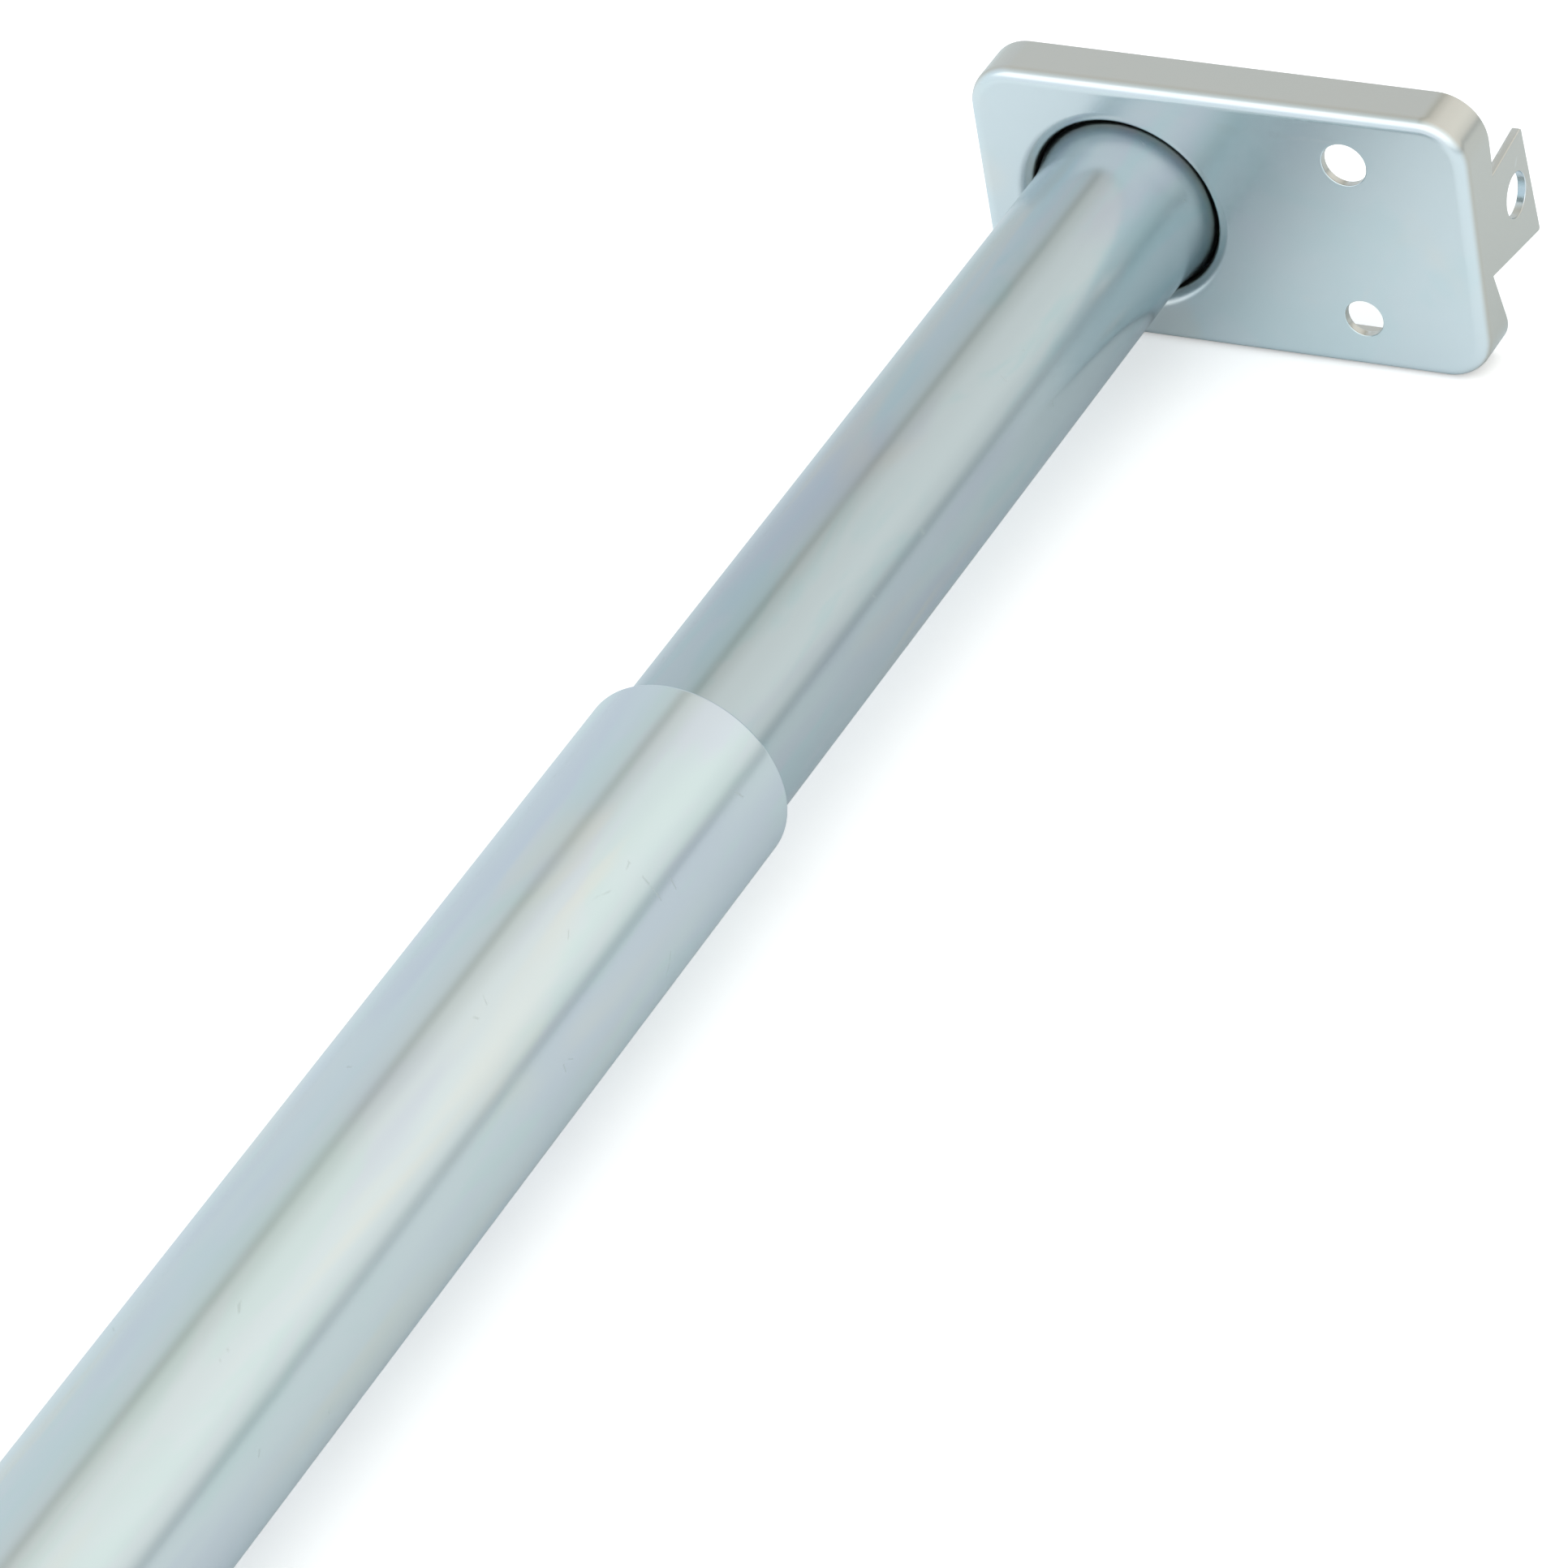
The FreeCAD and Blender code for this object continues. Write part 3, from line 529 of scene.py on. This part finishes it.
FOOT_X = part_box("foot_pan_a")[0].x
extension_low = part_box("extension_tube")[0]
extension_tube = made(turned(belled(FOOT_X, extension_low.x, 1)), "extension_tube_skin")
drill = bmesh.new()
bmesh.ops.create_cone(drill, cap_ends=True, segments=48, radius1=BUTTON_HOLE_R,
                      radius2=BUTTON_HOLE_R, depth=0.012)
bmesh.ops.translate(drill, verts=drill.verts, vec=(BUTTON_X, 0, AXIS_UP - INNER_R))
cut_with(extension_tube, drill)
break_edges(extension_tube, 0.2 * MM)
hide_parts("extension_tube")
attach(extension_tube, "extension")
inner_zinc = zinc("inner_tube_zinc", (
    ("Zinc", (0.450, 0.508, 0.522, 1)), ("Lilac", (0.420, 0.445, 0.505, 1)),
    ("Sea green", (0.390, 0.500, 0.515, 1)), ("Straw", (0.505, 0.500, 0.465, 1)),
    ("Film", 0.60), ("Stretch", (9, 60, 60)), ("Lines", (8, 1700, 1700)),
    ("Gloss roughness", 0.17), ("Scuffs", 0.45)), 0.000004, 0.4)
extension_tube.data.materials.clear()
extension_tube.data.materials.append(inner_zinc)

# Foot pans: 2 mm sheet pressed into a shallow pan, open behind, that bears on the truck bed's
# side. The tube's hole is turned back into a short neck and one flange carries on as a drilled ear.
PAN_LEFT, PAN_RIGHT, PAN_HALF, PAN_DEEP = 0.033, 0.0813, 0.03175, 0.0127
SHEET = 0.002
PAN_CORNER_R, PAN_BEND_R = 0.0105, 0.003
NECK_R, NECK_BEND_R, NECK_DEEP = 0.0212, 0.0033, 0.0046
EAR_RIM_UP, EAR_ROOT = 0.0150, (0.0122, 0.0128)
EAR_TIP, EAR_LOW_TIP, EAR_CHOP = (0.0282, 0.0147), (0.0315, -0.0127), 0.0005
EAR_HOLE_R, EAR_HOLE_OUT, EAR_HOLE_UP = 0.005, 0.0222, 0.0017
RELIEF_OUT, RELIEF_TOP, RELIEF_LOW = 0.0070, -0.0088, -0.0275
BOLTS = ((-0.0535, 0.01905, 0.0050), (-0.0535, -0.01905, 0.0043))


def pan_outline(inset, steps=14):
    """Points round the pan from the top of its ear side, downwards; inset moves them inwards."""
    r = PAN_CORNER_R - inset
    y0, y1, z1 = inset - PAN_RIGHT, PAN_LEFT - inset, PAN_HALF - inset
    corners = ((y0 + r, r - z1, 180), (y1 - r, r - z1, 270), (y1 - r, z1 - r, 0), (y0 + r, z1 - r, 90))
    points = []
    for y, z, start in corners:
        for i in range(steps + 1):
            a = math.radians(start + 90 * i / steps)
            points.append((y + r * math.cos(a), z + r * math.sin(a)))
    return points[-1:] + points[:-1]


def rim_x(z, ear_side):
    """How far back the pan's free edge is: cut back below the ear."""
    if ear_side and RELIEF_LOW < z < RELIEF_TOP:
        return PAN_DEEP - (PAN_DEEP - RELIEF_OUT) * (z - RELIEF_LOW) / (RELIEF_TOP - RELIEF_LOW)
    return PAN_DEEP


def hole_ring(mesh, x, y, z, r, steps):
    """A ring of joined points in the plane across the bar."""
    ring = []
    for i in range(steps):
        a = 2 * math.pi * i / steps
        ring.append(mesh.verts.new((x, y + r * math.cos(a), z + r * math.sin(a))))
    return ring


def join_rings(mesh, a, b, closed=True):
    """Faces between two rings of the same count."""
    for i in range(len(a) if closed else len(a) - 1):
        j = (i + 1) % len(a)
        mesh.faces.new((a[i], a[j], b[j], b[i]))


def fill(mesh, *loops):
    """Fill one outer loop round any holes in it."""
    edges = []
    for loop in loops:
        for i, v in enumerate(loop):
            pair = (v, loop[(i + 1) % len(loop)])
            edges.append(mesh.edges.get(pair) or mesh.edges.new(pair))
    bmesh.ops.triangle_fill(mesh, use_beauty=True, use_dissolve=False, edges=edges)


def pan_skin(mesh, depth, bend_r, steps):
    """One side of the sheet: the rim, the flange, the bend and the face's edge, as rings."""
    rings = []
    rim = []
    for y, z in pan_outline(depth):
        rim.append(mesh.verts.new((rim_x(z, y < -PAN_RIGHT + PAN_CORNER_R), y, z)))
    rings.append(rim)
    for i in range(steps + 1):
        a = math.radians(90 * i / steps)
        x = PAN_BEND_R - bend_r * math.sin(a)
        inset = depth + bend_r * (1 - math.cos(a))
        rings.append([mesh.verts.new((x, y, z)) for y, z in pan_outline(inset)])
    for a, b in zip(rings, rings[1:]):
        for i in range(len(a)):
            j = (i + 1) % len(a)
            if i or a is not rim:
                mesh.faces.new((a[i], a[j], b[j], b[i]))
    return rings


def pan_mesh():
    """A whole pan, with its face at x = 0 and its tube hole on the axis."""
    mesh = bmesh.new()
    front = pan_skin(mesh, 0.0, PAN_BEND_R, 8)
    back = pan_skin(mesh, SHEET, PAN_BEND_R - SHEET, 5)
    (out, up), (low_out, low_up), aside = EAR_TIP, EAR_LOW_TIP, 0.1 * EAR_CHOP
    ear = [(PAN_DEEP, EAR_RIM_UP), EAR_ROOT, (out - EAR_CHOP, up - aside), (out + aside, up - EAR_CHOP),
           (low_out - aside, low_up + EAR_CHOP), (low_out - EAR_CHOP, low_up + aside),
           (RELIEF_OUT, RELIEF_TOP)]
    sides = []
    for rings, y in ((front, -PAN_RIGHT), (back, SHEET - PAN_RIGHT)):
        edge = [rings[0][0]] + [mesh.verts.new((x, y, z)) for x, z in ear] + [rings[0][1]]
        ring = []
        for i in range(40):
            a = 2 * math.pi * i / 40
            ring.append(mesh.verts.new((EAR_HOLE_OUT + EAR_HOLE_R * math.cos(a), y,
                                        EAR_HOLE_UP + EAR_HOLE_R * math.sin(a))))
        fill(mesh, edge + [rings[1][1], rings[1][0]], ring)
        sides.append((edge, ring))
    join_rings(mesh, sides[0][0], sides[1][0], closed=False)
    join_rings(mesh, sides[0][1], sides[1][1])
    rim_front, rim_back = front[0], back[0]
    for i in range(1, len(rim_front)):
        j = (i + 1) % len(rim_front)
        mesh.faces.new((rim_front[i], rim_front[j], rim_back[j], rim_back[i]))
    neck = []
    profile = [(NECK_BEND_R - NECK_BEND_R * math.cos(a), NECK_R + NECK_BEND_R - NECK_BEND_R * math.sin(a))
               for a in (math.radians(90 * i / 9) for i in range(10))]
    inner_r = NECK_BEND_R - SHEET
    behind = [(NECK_BEND_R - inner_r * math.cos(a), NECK_R + NECK_BEND_R - inner_r * math.sin(a))
              for a in (math.radians(90 * i / 5) for i in range(6))]
    for x, r in profile + [(NECK_DEEP, NECK_R), (NECK_DEEP, NECK_R + SHEET)] + behind[::-1]:
        neck.append(hole_ring(mesh, x, 0, 0, r, 128))
    for a, b in zip(neck, neck[1:]):
        join_rings(mesh, a, b)
    holes_front = [hole_ring(mesh, 0, y, z, r, 40) for y, z, r in BOLTS]
    holes_back = [hole_ring(mesh, SHEET, y, z, r, 40) for y, z, r in BOLTS]
    for a, b in zip(holes_front, holes_back):
        join_rings(mesh, a, b)
    fill(mesh, front[-1], neck[0], *holes_front)
    fill(mesh, back[-1], neck[-1], *holes_back)
    bmesh.ops.remove_doubles(mesh, verts=mesh.verts, dist=0.000001)
    bmesh.ops.dissolve_limit(mesh, angle_limit=math.radians(0.2), verts=mesh.verts, edges=mesh.edges)
    bmesh.ops.recalc_face_normals(mesh, faces=mesh.faces)
    return mesh


# The pan's flanges and ear get a painted shade through sides, a darker straw-grey on faces not pointing along
# the bar.
pan_zinc = zinc("pan_zinc", (
    ("Zinc", (0.745, 0.830, 0.865, 1)), ("Lilac", (0.775, 0.805, 0.880, 1)),
    ("Sea green", (0.675, 0.815, 0.845, 1)), ("Straw", (0.830, 0.825, 0.790, 1)),
    ("Film", 0.45), ("Stretch", (22, 22, 22)), ("Lines", (700, 700, 700)),
    ("Gloss roughness", 0.20), ("Scuffs", 0.0)), 0.000002, 0.35,
    sides=((0.535, 0.505, 0.445, 1), 0.88))
for letter, side in (("a", 1), ("b", -1)):
    pan = made(pan_mesh(), "foot_pan_%s_pressing" % letter)
    low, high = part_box("foot_pan_" + letter)
    for vertex in pan.data.vertices:
        x, y, z = vertex.co
        face_x = low.x if side > 0 else high.x
        vertex.co = (face_x + side * x, side * y, AXIS_UP + z)
    break_edges(pan, 0.28 * MM, 60, 3)
    pan.data.materials.clear()
    pan.data.materials.append(pan_zinc)
    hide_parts("foot_pan_" + letter)
    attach(pan, "foot_" + letter)


# Retainer cups: 1.5 mm pressed hats with a round hole, spot-welded by their brims to the back
# of the pan. The bell turns between the cup and the neck on a nylon thrust washer.
CUP_SHEET, CUP_IN_R, CUP_BRIM_R, CUP_CROWN, CUP_HOLE_R = 0.0015, 0.0248, 0.0287, 0.0106, 0.012
CUP_ROUND = 0.0012
SPOT_WELDS = 8


def cup_mesh(side):
    """A hat-shaped ring with a dimple in its brim at each spot weld."""
    wall = CUP_IN_R + CUP_SHEET
    brim = [(SHEET + CUP_SHEET, CUP_BRIM_R - 0.0002 - 0.0002 * i) for i in range(10)]
    foot_round = curl(SHEET + CUP_SHEET + 0.0004, wall + 0.0004, 0.0004, 180, 90, 3)
    crown = curl(CUP_CROWN + CUP_SHEET - CUP_ROUND, wall - CUP_ROUND, CUP_ROUND, 90, -90, 6)
    outline = [(SHEET, CUP_IN_R), (SHEET, CUP_BRIM_R - 0.0001), (SHEET + 0.0001, CUP_BRIM_R),
               (SHEET + CUP_SHEET - 0.0002, CUP_BRIM_R)] + brim + foot_round + crown
    outline += [(CUP_CROWN + CUP_SHEET, CUP_HOLE_R + 0.0003), (CUP_CROWN + CUP_SHEET - 0.0003, CUP_HOLE_R),
                (CUP_CROWN + 0.0002, CUP_HOLE_R), (CUP_CROWN, CUP_HOLE_R + 0.0002)]
    outline += curl(CUP_CROWN - 0.0008, CUP_IN_R - 0.0008, 0.0008, 0, 90, 4)
    cup = turned(outline, 240)
    for v in cup.verts:
        r = math.hypot(v.co.y, v.co.z - AXIS_UP)
        if abs(v.co.x - SHEET - CUP_SHEET) < 0.00001 and r > wall:
            a = math.atan2(v.co.z - AXIS_UP, v.co.y)
            near = (a * SPOT_WELDS / (2 * math.pi) + 0.5) % 1 - 0.5
            across = near * 2 * math.pi / SPOT_WELDS * r
            away = math.hypot(across, r - 0.0276)
            v.co.x -= 0.00035 * max(0.0, 1 - (away / 0.0011) ** 2)
    for v in cup.verts:
        v.co.x = side * (FOOT_X + v.co.x)
        v.co.y *= side
    bmesh.ops.recalc_face_normals(cup, faces=cup.faces)
    return cup


cup_zinc = zinc("cup_zinc", (
    ("Zinc", (0.500, 0.550, 0.585, 1)), ("Lilac", (0.500, 0.500, 0.620, 1)),
    ("Sea green", (0.440, 0.570, 0.580, 1)), ("Straw", (0.640, 0.590, 0.470, 1)),
    ("Film", 0.7), ("Stretch", (30, 30, 30)), ("Lines", (60, 700, 700)),
    ("Gloss roughness", 0.28), ("Scuffs", 0.4)), 0.000006, 0.5)
for letter, side in (("a", 1), ("b", -1)):
    cup = made(cup_mesh(side), "retainer_cup_%s_pressing" % letter)
    break_edges(cup, 0.1 * MM, 70, 1)
    cup.data.materials.clear()
    cup.data.materials.append(cup_zinc)
    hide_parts("retainer_cup_" + letter)
    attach(cup, "foot_" + letter)


# Thrust washers and the rack bush: natural nylon, moulded, slightly milky with fine flow marks.
fine_grain, grain_in, grain_out = new_group(
    "fine_grain",
    (("Color", "Color", (0.8, 0.8, 0.8, 1)), ("Shade", "Color", (0.6, 0.6, 0.6, 1)),
     ("Roughness", "Float", 0.5), ("Grain size", "Float", 900.0), ("Mottle size", "Float", 60.0)),
    (("Color", "Color"), ("Roughness", "Float"), ("Height", "Float")),
)
grain_place = put(fine_grain, "ShaderNodeTexCoord").outputs["Object"]
fine = put(fine_grain, "ShaderNodeTexNoise", (("Detail", 3.0), ("Roughness", 0.65)),
           (("Vector", grain_place), ("Scale", grain_in.outputs["Grain size"]))).outputs["Fac"]
mottle = put(fine_grain, "ShaderNodeTexNoise", (("Detail", 4.0), ("Roughness", 0.6), ("Distortion", 0.5)),
             (("Vector", grain_place), ("Scale", grain_in.outputs["Mottle size"]))).outputs["Fac"]
mottled = tint(fine_grain, ramp(fine_grain, mottle, 0.35, 0.75),
               grain_in.outputs["Color"], grain_in.outputs["Shade"])
fine_grain.links.new(mottled, grain_out.inputs["Color"])
uneven = sums(fine_grain, "ADD", grain_in.outputs["Roughness"], ramp(fine_grain, fine, 0.3, 0.7, -0.06, 0.06))
fine_grain.links.new(sums(fine_grain, "ADD", uneven, ramp(fine_grain, mottle, 0.3, 0.7, -0.05, 0.08)),
                     grain_out.inputs["Roughness"])
fine_grain.links.new(sums(fine_grain, "ADD", fine, sums(fine_grain, "MULTIPLY", mottle, 1.5)),
                     grain_out.inputs["Height"])


def grained(name, grain, bump, metallic=0.0, wear=0.0, bare=(0.8, 0.8, 0.8, 1), sockets=()):
    """A grained finish: moulded plastic, rubber, oiled or bare steel."""
    material = bpy.data.materials.new(name)
    material.use_nodes = True
    tree = material.node_tree
    tree.nodes.clear()
    out = tree.nodes.new("ShaderNodeOutputMaterial")
    surface = use(tree, fine_grain, grain)
    rubbed = use(tree, edge_wear, (("Bare metal", bare), ("Amount", wear)),
                 (("Color", surface.outputs["Color"]), ("Roughness", surface.outputs["Roughness"])))
    dents = put(tree, "ShaderNodeBump", (("Strength", 1.0), ("Distance", bump)),
                (("Height", surface.outputs["Height"]),))
    shell = put(tree, "ShaderNodeBsdfPrincipled", (("Metallic", metallic),) + sockets,
                (("Base Color", rubbed.outputs["Color"]), ("Roughness", rubbed.outputs["Roughness"]),
                 ("Normal", dents.outputs["Normal"])))
    tree.links.new(shell.outputs["BSDF"], out.inputs["Surface"])
    return material


def dress(names, material):
    """Give CAD nodes a finish."""
    for name in names:
        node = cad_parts[name]
        node.data.materials.clear()
        node.data.materials.append(material)


nylon = grained("natural_nylon", (
    ("Color", (0.78, 0.76, 0.70, 1)), ("Shade", (0.66, 0.63, 0.56, 1)), ("Roughness", 0.42),
    ("Grain size", 700.0), ("Mottle size", 90.0)), 0.00001,
    sockets=(("Subsurface Weight", 0.12), ("Subsurface Scale", 0.002)))
dress(("thrust_washer_a", "thrust_washer_b", "rack_bush"), nylon)


# Snap button and its spring: a turned stud on a folded strip of blued spring steel inside the
# extension tube. The strip is bent cold and the stud's tail is staked through it.
dress(("snap_button",), zinc("button_zinc", (
    ("Zinc", (0.62, 0.66, 0.68, 1)), ("Lilac", (0.55, 0.57, 0.66, 1)), ("Sea green", (0.50, 0.60, 0.60, 1)),
    ("Straw", (0.68, 0.64, 0.52, 1)), ("Film", 0.4), ("Stretch", (90, 90, 90)), ("Lines", (900, 900, 4000)),
    ("Gloss roughness", 0.22), ("Scuffs", 0.3)), 0.000004, 0.8))
spring_steel = grained("spring_steel", (
    ("Color", (0.30, 0.31, 0.35, 1)), ("Shade", (0.36, 0.30, 0.24, 1)), ("Roughness", 0.34),
    ("Grain size", 2600.0), ("Mottle size", 160.0)), 0.000004, 1.0, 0.6, (0.66, 0.67, 0.68, 1))
dress(("button_spring", "drive_pawl_spring", "holding_pawl_spring"), spring_steel)


# Rack tube: the inner tube on the jack side, the same size as the extension tube, belled at its
# foot and punched along the top with a row of round-ended slots that the pawls push on.
rack_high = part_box("rack_tube")[1]
HOLD_PIN_X, HOLD_TIP_BACK_OF_PIN = -0.062, -0.018
SLOT_PITCH, SLOT_LONG, SLOT_WIDE = 0.010, 0.006, 0.015
JACK_X = main_low.x
rack_tube = made(turned(belled(-FOOT_X, rack_high.x, -1)), "rack_tube_skin")
punches = bmesh.new()
first_slot = JACK_X + HOLD_PIN_X + HOLD_TIP_BACK_OF_PIN - 8 * SLOT_PITCH
for i in range(37):
    ring = []
    for step in range(24):
        a = 2 * math.pi * (step + 0.5) / 24
        end = SLOT_WIDE / 2 - SLOT_LONG / 2 if math.sin(a) > 0 else SLOT_LONG / 2 - SLOT_WIDE / 2
        ring.append((first_slot + i * SLOT_PITCH + SLOT_LONG / 2 * math.cos(a),
                     end + SLOT_LONG / 2 * math.sin(a)))
    lower = [punches.verts.new((x, y, AXIS_UP + 0.008)) for x, y in ring]
    upper = [punches.verts.new((x, y, AXIS_UP + INNER_R + 0.002)) for x, y in ring]
    join_rings(punches, lower, upper)
    punches.faces.new(lower)
    punches.faces.new(upper)
bmesh.ops.recalc_face_normals(punches, faces=punches.faces)
cut_with(rack_tube, punches)
break_edges(rack_tube, 0.22 * MM)
rack_tube.data.materials.clear()
rack_tube.data.materials.append(inner_zinc)
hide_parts("rack_tube")
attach(rack_tube, "rack")


# Jack bracket and end guide: a 2.5 mm channel folded round the main tube, blanked, folded and
# plated. The guide plate across its open end keeps the rack tube central.
def from_cad(node, width, name, material, body, angle=40):
    """A copy of a CAD node with every cut edge just broken, standing for it."""
    mesh = bmesh.new()
    mesh.from_mesh(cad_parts[node].data)
    bmesh.ops.remove_doubles(mesh, verts=mesh.verts, dist=0.000002)
    bmesh.ops.dissolve_limit(mesh, angle_limit=math.radians(0.5), verts=mesh.verts, edges=mesh.edges)
    bmesh.ops.recalc_face_normals(mesh, faces=mesh.faces)
    piece = made(mesh, name)
    break_edges(piece, width, angle)
    piece.data.materials.clear()
    piece.data.materials.append(material)
    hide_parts(node)
    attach(piece, body)
    return piece


jack_zinc = zinc("jack_zinc", (
    ("Zinc", (0.545, 0.600, 0.635, 1)), ("Lilac", (0.520, 0.530, 0.650, 1)),
    ("Sea green", (0.480, 0.610, 0.600, 1)), ("Straw", (0.660, 0.620, 0.500, 1)),
    ("Film", 0.6), ("Stretch", (16, 16, 16)), ("Lines", (160, 160, 1500)),
    ("Gloss roughness", 0.26), ("Scuffs", 0.6)), 0.000006, 0.7)
from_cad("jack_bracket", 0.3 * MM, "jack_bracket_folding", jack_zinc, "main")
from_cad("end_guide", 0.25 * MM, "end_guide_plate", jack_zinc, "main")


# Jack welds: two MIG beads laid in overlapping ripples where the bracket's cheeks meet the tube,
# plated over dull, with a brownish mottle in their finish.
weld_low, weld_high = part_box("jack_welds")
BEAD_R = 0.0018
weld_steel = grained("weld_metal", (
    ("Color", (0.36, 0.37, 0.39, 1)), ("Shade", (0.27, 0.24, 0.22, 1)), ("Roughness", 0.45),
    ("Grain size", 1800.0), ("Mottle size", 260.0)), 0.00003, 1.0, 0.3, (0.60, 0.62, 0.64, 1))
bead_mesh = bmesh.new()
for side in (1, -1):
    across = weld_high.y - BEAD_R if side > 0 else weld_low.y + BEAD_R
    middle_z = (weld_low.z + weld_high.z) / 2
    start, stop = weld_low.x, weld_high.x
    rings = []
    count = 120
    for i in range(count + 1):
        along = i / count
        x = start + (stop - start) * along
        reach = min(x - start, stop - x)
        taper = math.sqrt(max(0.0, 1 - (1 - min(1.0, reach / BEAD_R)) ** 2))
        ripple = 0.90 + 0.10 * abs(math.sin(math.pi * along * 17))
        r = max(0.00002, BEAD_R * taper * ripple)
        ring = []
        for step in range(24):
            a = 2 * math.pi * step / 24
            lag = 0.00045 * (1 - math.cos(a)) * taper
            ring.append(bead_mesh.verts.new((min(stop, x + lag * (stop - x) / (stop - start) * 2),
                                             across + r * math.cos(a), middle_z + r * math.sin(a))))
        rings.append(ring)
    for a, b in zip(rings, rings[1:]):
        join_rings(bead_mesh, a, b)
    bead_mesh.faces.new(rings[0])
    bead_mesh.faces.new(rings[-1])
bmesh.ops.recalc_face_normals(bead_mesh, faces=bead_mesh.faces)
welds = made(bead_mesh, "jack_weld_beads")
welds.data.materials.append(weld_steel)
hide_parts("jack_welds")
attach(welds, "main")


# Pins and spacers: cold-headed steel rivets through the bracket's cheeks and turned spacers on
# the pawls' pins, oiled steel with a fine grain.
pin_steel = grained("pin_steel", (
    ("Color", (0.46, 0.48, 0.50, 1)), ("Shade", (0.36, 0.37, 0.39, 1)), ("Roughness", 0.30),
    ("Grain size", 1500.0), ("Mottle size", 140.0)), 0.000006, 1.0, 0.5, (0.72, 0.73, 0.74, 1))
dress(("handle_pivot_pin", "holding_pawl_pin", "drive_pawl_pin", "drive_pawl_spacers",
       "holding_pawl_spacers"), pin_steel)


# Pawls: hardened steel, sheared from thick plate and blacked, worn bright along their edges.
pawl_steel = grained("pawl_steel", (
    ("Color", (0.17, 0.17, 0.18, 1)), ("Shade", (0.22, 0.21, 0.20, 1)), ("Roughness", 0.38),
    ("Grain size", 1300.0), ("Mottle size", 120.0)), 0.00001, 1.0, 0.9, (0.62, 0.62, 0.63, 1))
from_cad("drive_pawl", 0.3 * MM, "drive_pawl_block", pawl_steel, "drive_pawl")
from_cad("holding_pawl", 0.4 * MM, "holding_pawl_block", pawl_steel, "holding_pawl")


# Handle: a folded channel lever with a round ear each side at the pivot, plated, with a black
# moulded vinyl grip pushed over its end and ribbed across so that a gloved hand doesn't slip.
handle_zinc = zinc("handle_zinc", (
    ("Zinc", (0.570, 0.630, 0.660, 1)), ("Lilac", (0.540, 0.550, 0.660, 1)),
    ("Sea green", (0.500, 0.630, 0.620, 1)), ("Straw", (0.670, 0.640, 0.540, 1)),
    ("Film", 0.55), ("Stretch", (9, 30, 30)), ("Lines", (40, 1500, 1500)),
    ("Gloss roughness", 0.24), ("Scuffs", 0.7)), 0.000006, 0.7)
from_cad("handle_lever", 0.3 * MM, "handle_channel", handle_zinc, "handle")

grip_low, grip_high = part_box("handle_grip")
GRIP_CORE_HALF, GRIP_CORE_END = 0.014, 0.004
GRIP_CORNER_R, GRIP_END_R = 0.006, 0.0025


def grip_ring(mesh, x, inset, corner, steps=7):
    """A rounded-square ring across the grip."""
    y1 = grip_high.y - inset
    z0, z1 = grip_low.z + inset, grip_high.z - inset
    r = max(0.0002, corner - inset)
    ring = []
    corners = ((y1 - r, z1 - r, 0), (r - y1, z1 - r, 90), (r - y1, z0 + r, 180), (y1 - r, z0 + r, 270))
    for y, z, start in corners:
        for i in range(steps + 1):
            a = math.radians(start + 90 * i / steps)
            ring.append(mesh.verts.new((x, y + r * math.cos(a), z + r * math.sin(a))))
    return ring


grip_mesh = bmesh.new()
profile = [(grip_low.x, 0.0008), (grip_low.x + 0.0008, 0.0), (grip_low.x + 0.007, 0.0)]
rib_start, rib_pitch, ribs = grip_low.x + 0.010, 0.0056, 17
for i in range(ribs):
    x = rib_start + i * rib_pitch
    for step in range(8):
        dip = 0.0009 * (0.5 - 0.5 * math.cos(2 * math.pi * step / 8)) ** 0.7
        profile.append((x + 0.62 * rib_pitch * step / 8, dip))
    profile.append((x + 0.62 * rib_pitch, 0.0))
for i in range(1, 8):
    a = math.radians(90 * i / 7)
    profile.append((grip_high.x - GRIP_END_R + GRIP_END_R * math.sin(a), GRIP_END_R * (1 - math.cos(a))))
shell = [grip_ring(grip_mesh, x, inset, GRIP_CORNER_R) for x, inset in profile]
for a, b in zip(shell, shell[1:]):
    join_rings(grip_mesh, a, b)
grip_mesh.faces.new(shell[-1])
core_inset = grip_high.y - GRIP_CORE_HALF
mouth = grip_ring(grip_mesh, grip_low.x, core_inset, core_inset + 0.0004)
seat = grip_ring(grip_mesh, grip_high.x - GRIP_CORE_END, core_inset, core_inset + 0.0004)
join_rings(grip_mesh, shell[0], mouth)
join_rings(grip_mesh, mouth, seat)
grip_mesh.faces.new(seat)
bmesh.ops.recalc_face_normals(grip_mesh, faces=grip_mesh.faces)
grip = made(grip_mesh, "handle_grip_ribbed")
flat = grip.modifiers.new("flat_faces", "WEIGHTED_NORMAL")
settle(grip)
grip.data.materials.clear()
grip.data.materials.append(grained("grip_vinyl", (
    ("Color", (0.018, 0.018, 0.020, 1)), ("Shade", (0.032, 0.032, 0.034, 1)), ("Roughness", 0.52),
    ("Grain size", 1400.0), ("Mottle size", 70.0)), 0.00004, 0.0, 0.35, (0.06, 0.06, 0.062, 1)))
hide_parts("handle_grip")
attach(grip, "handle")
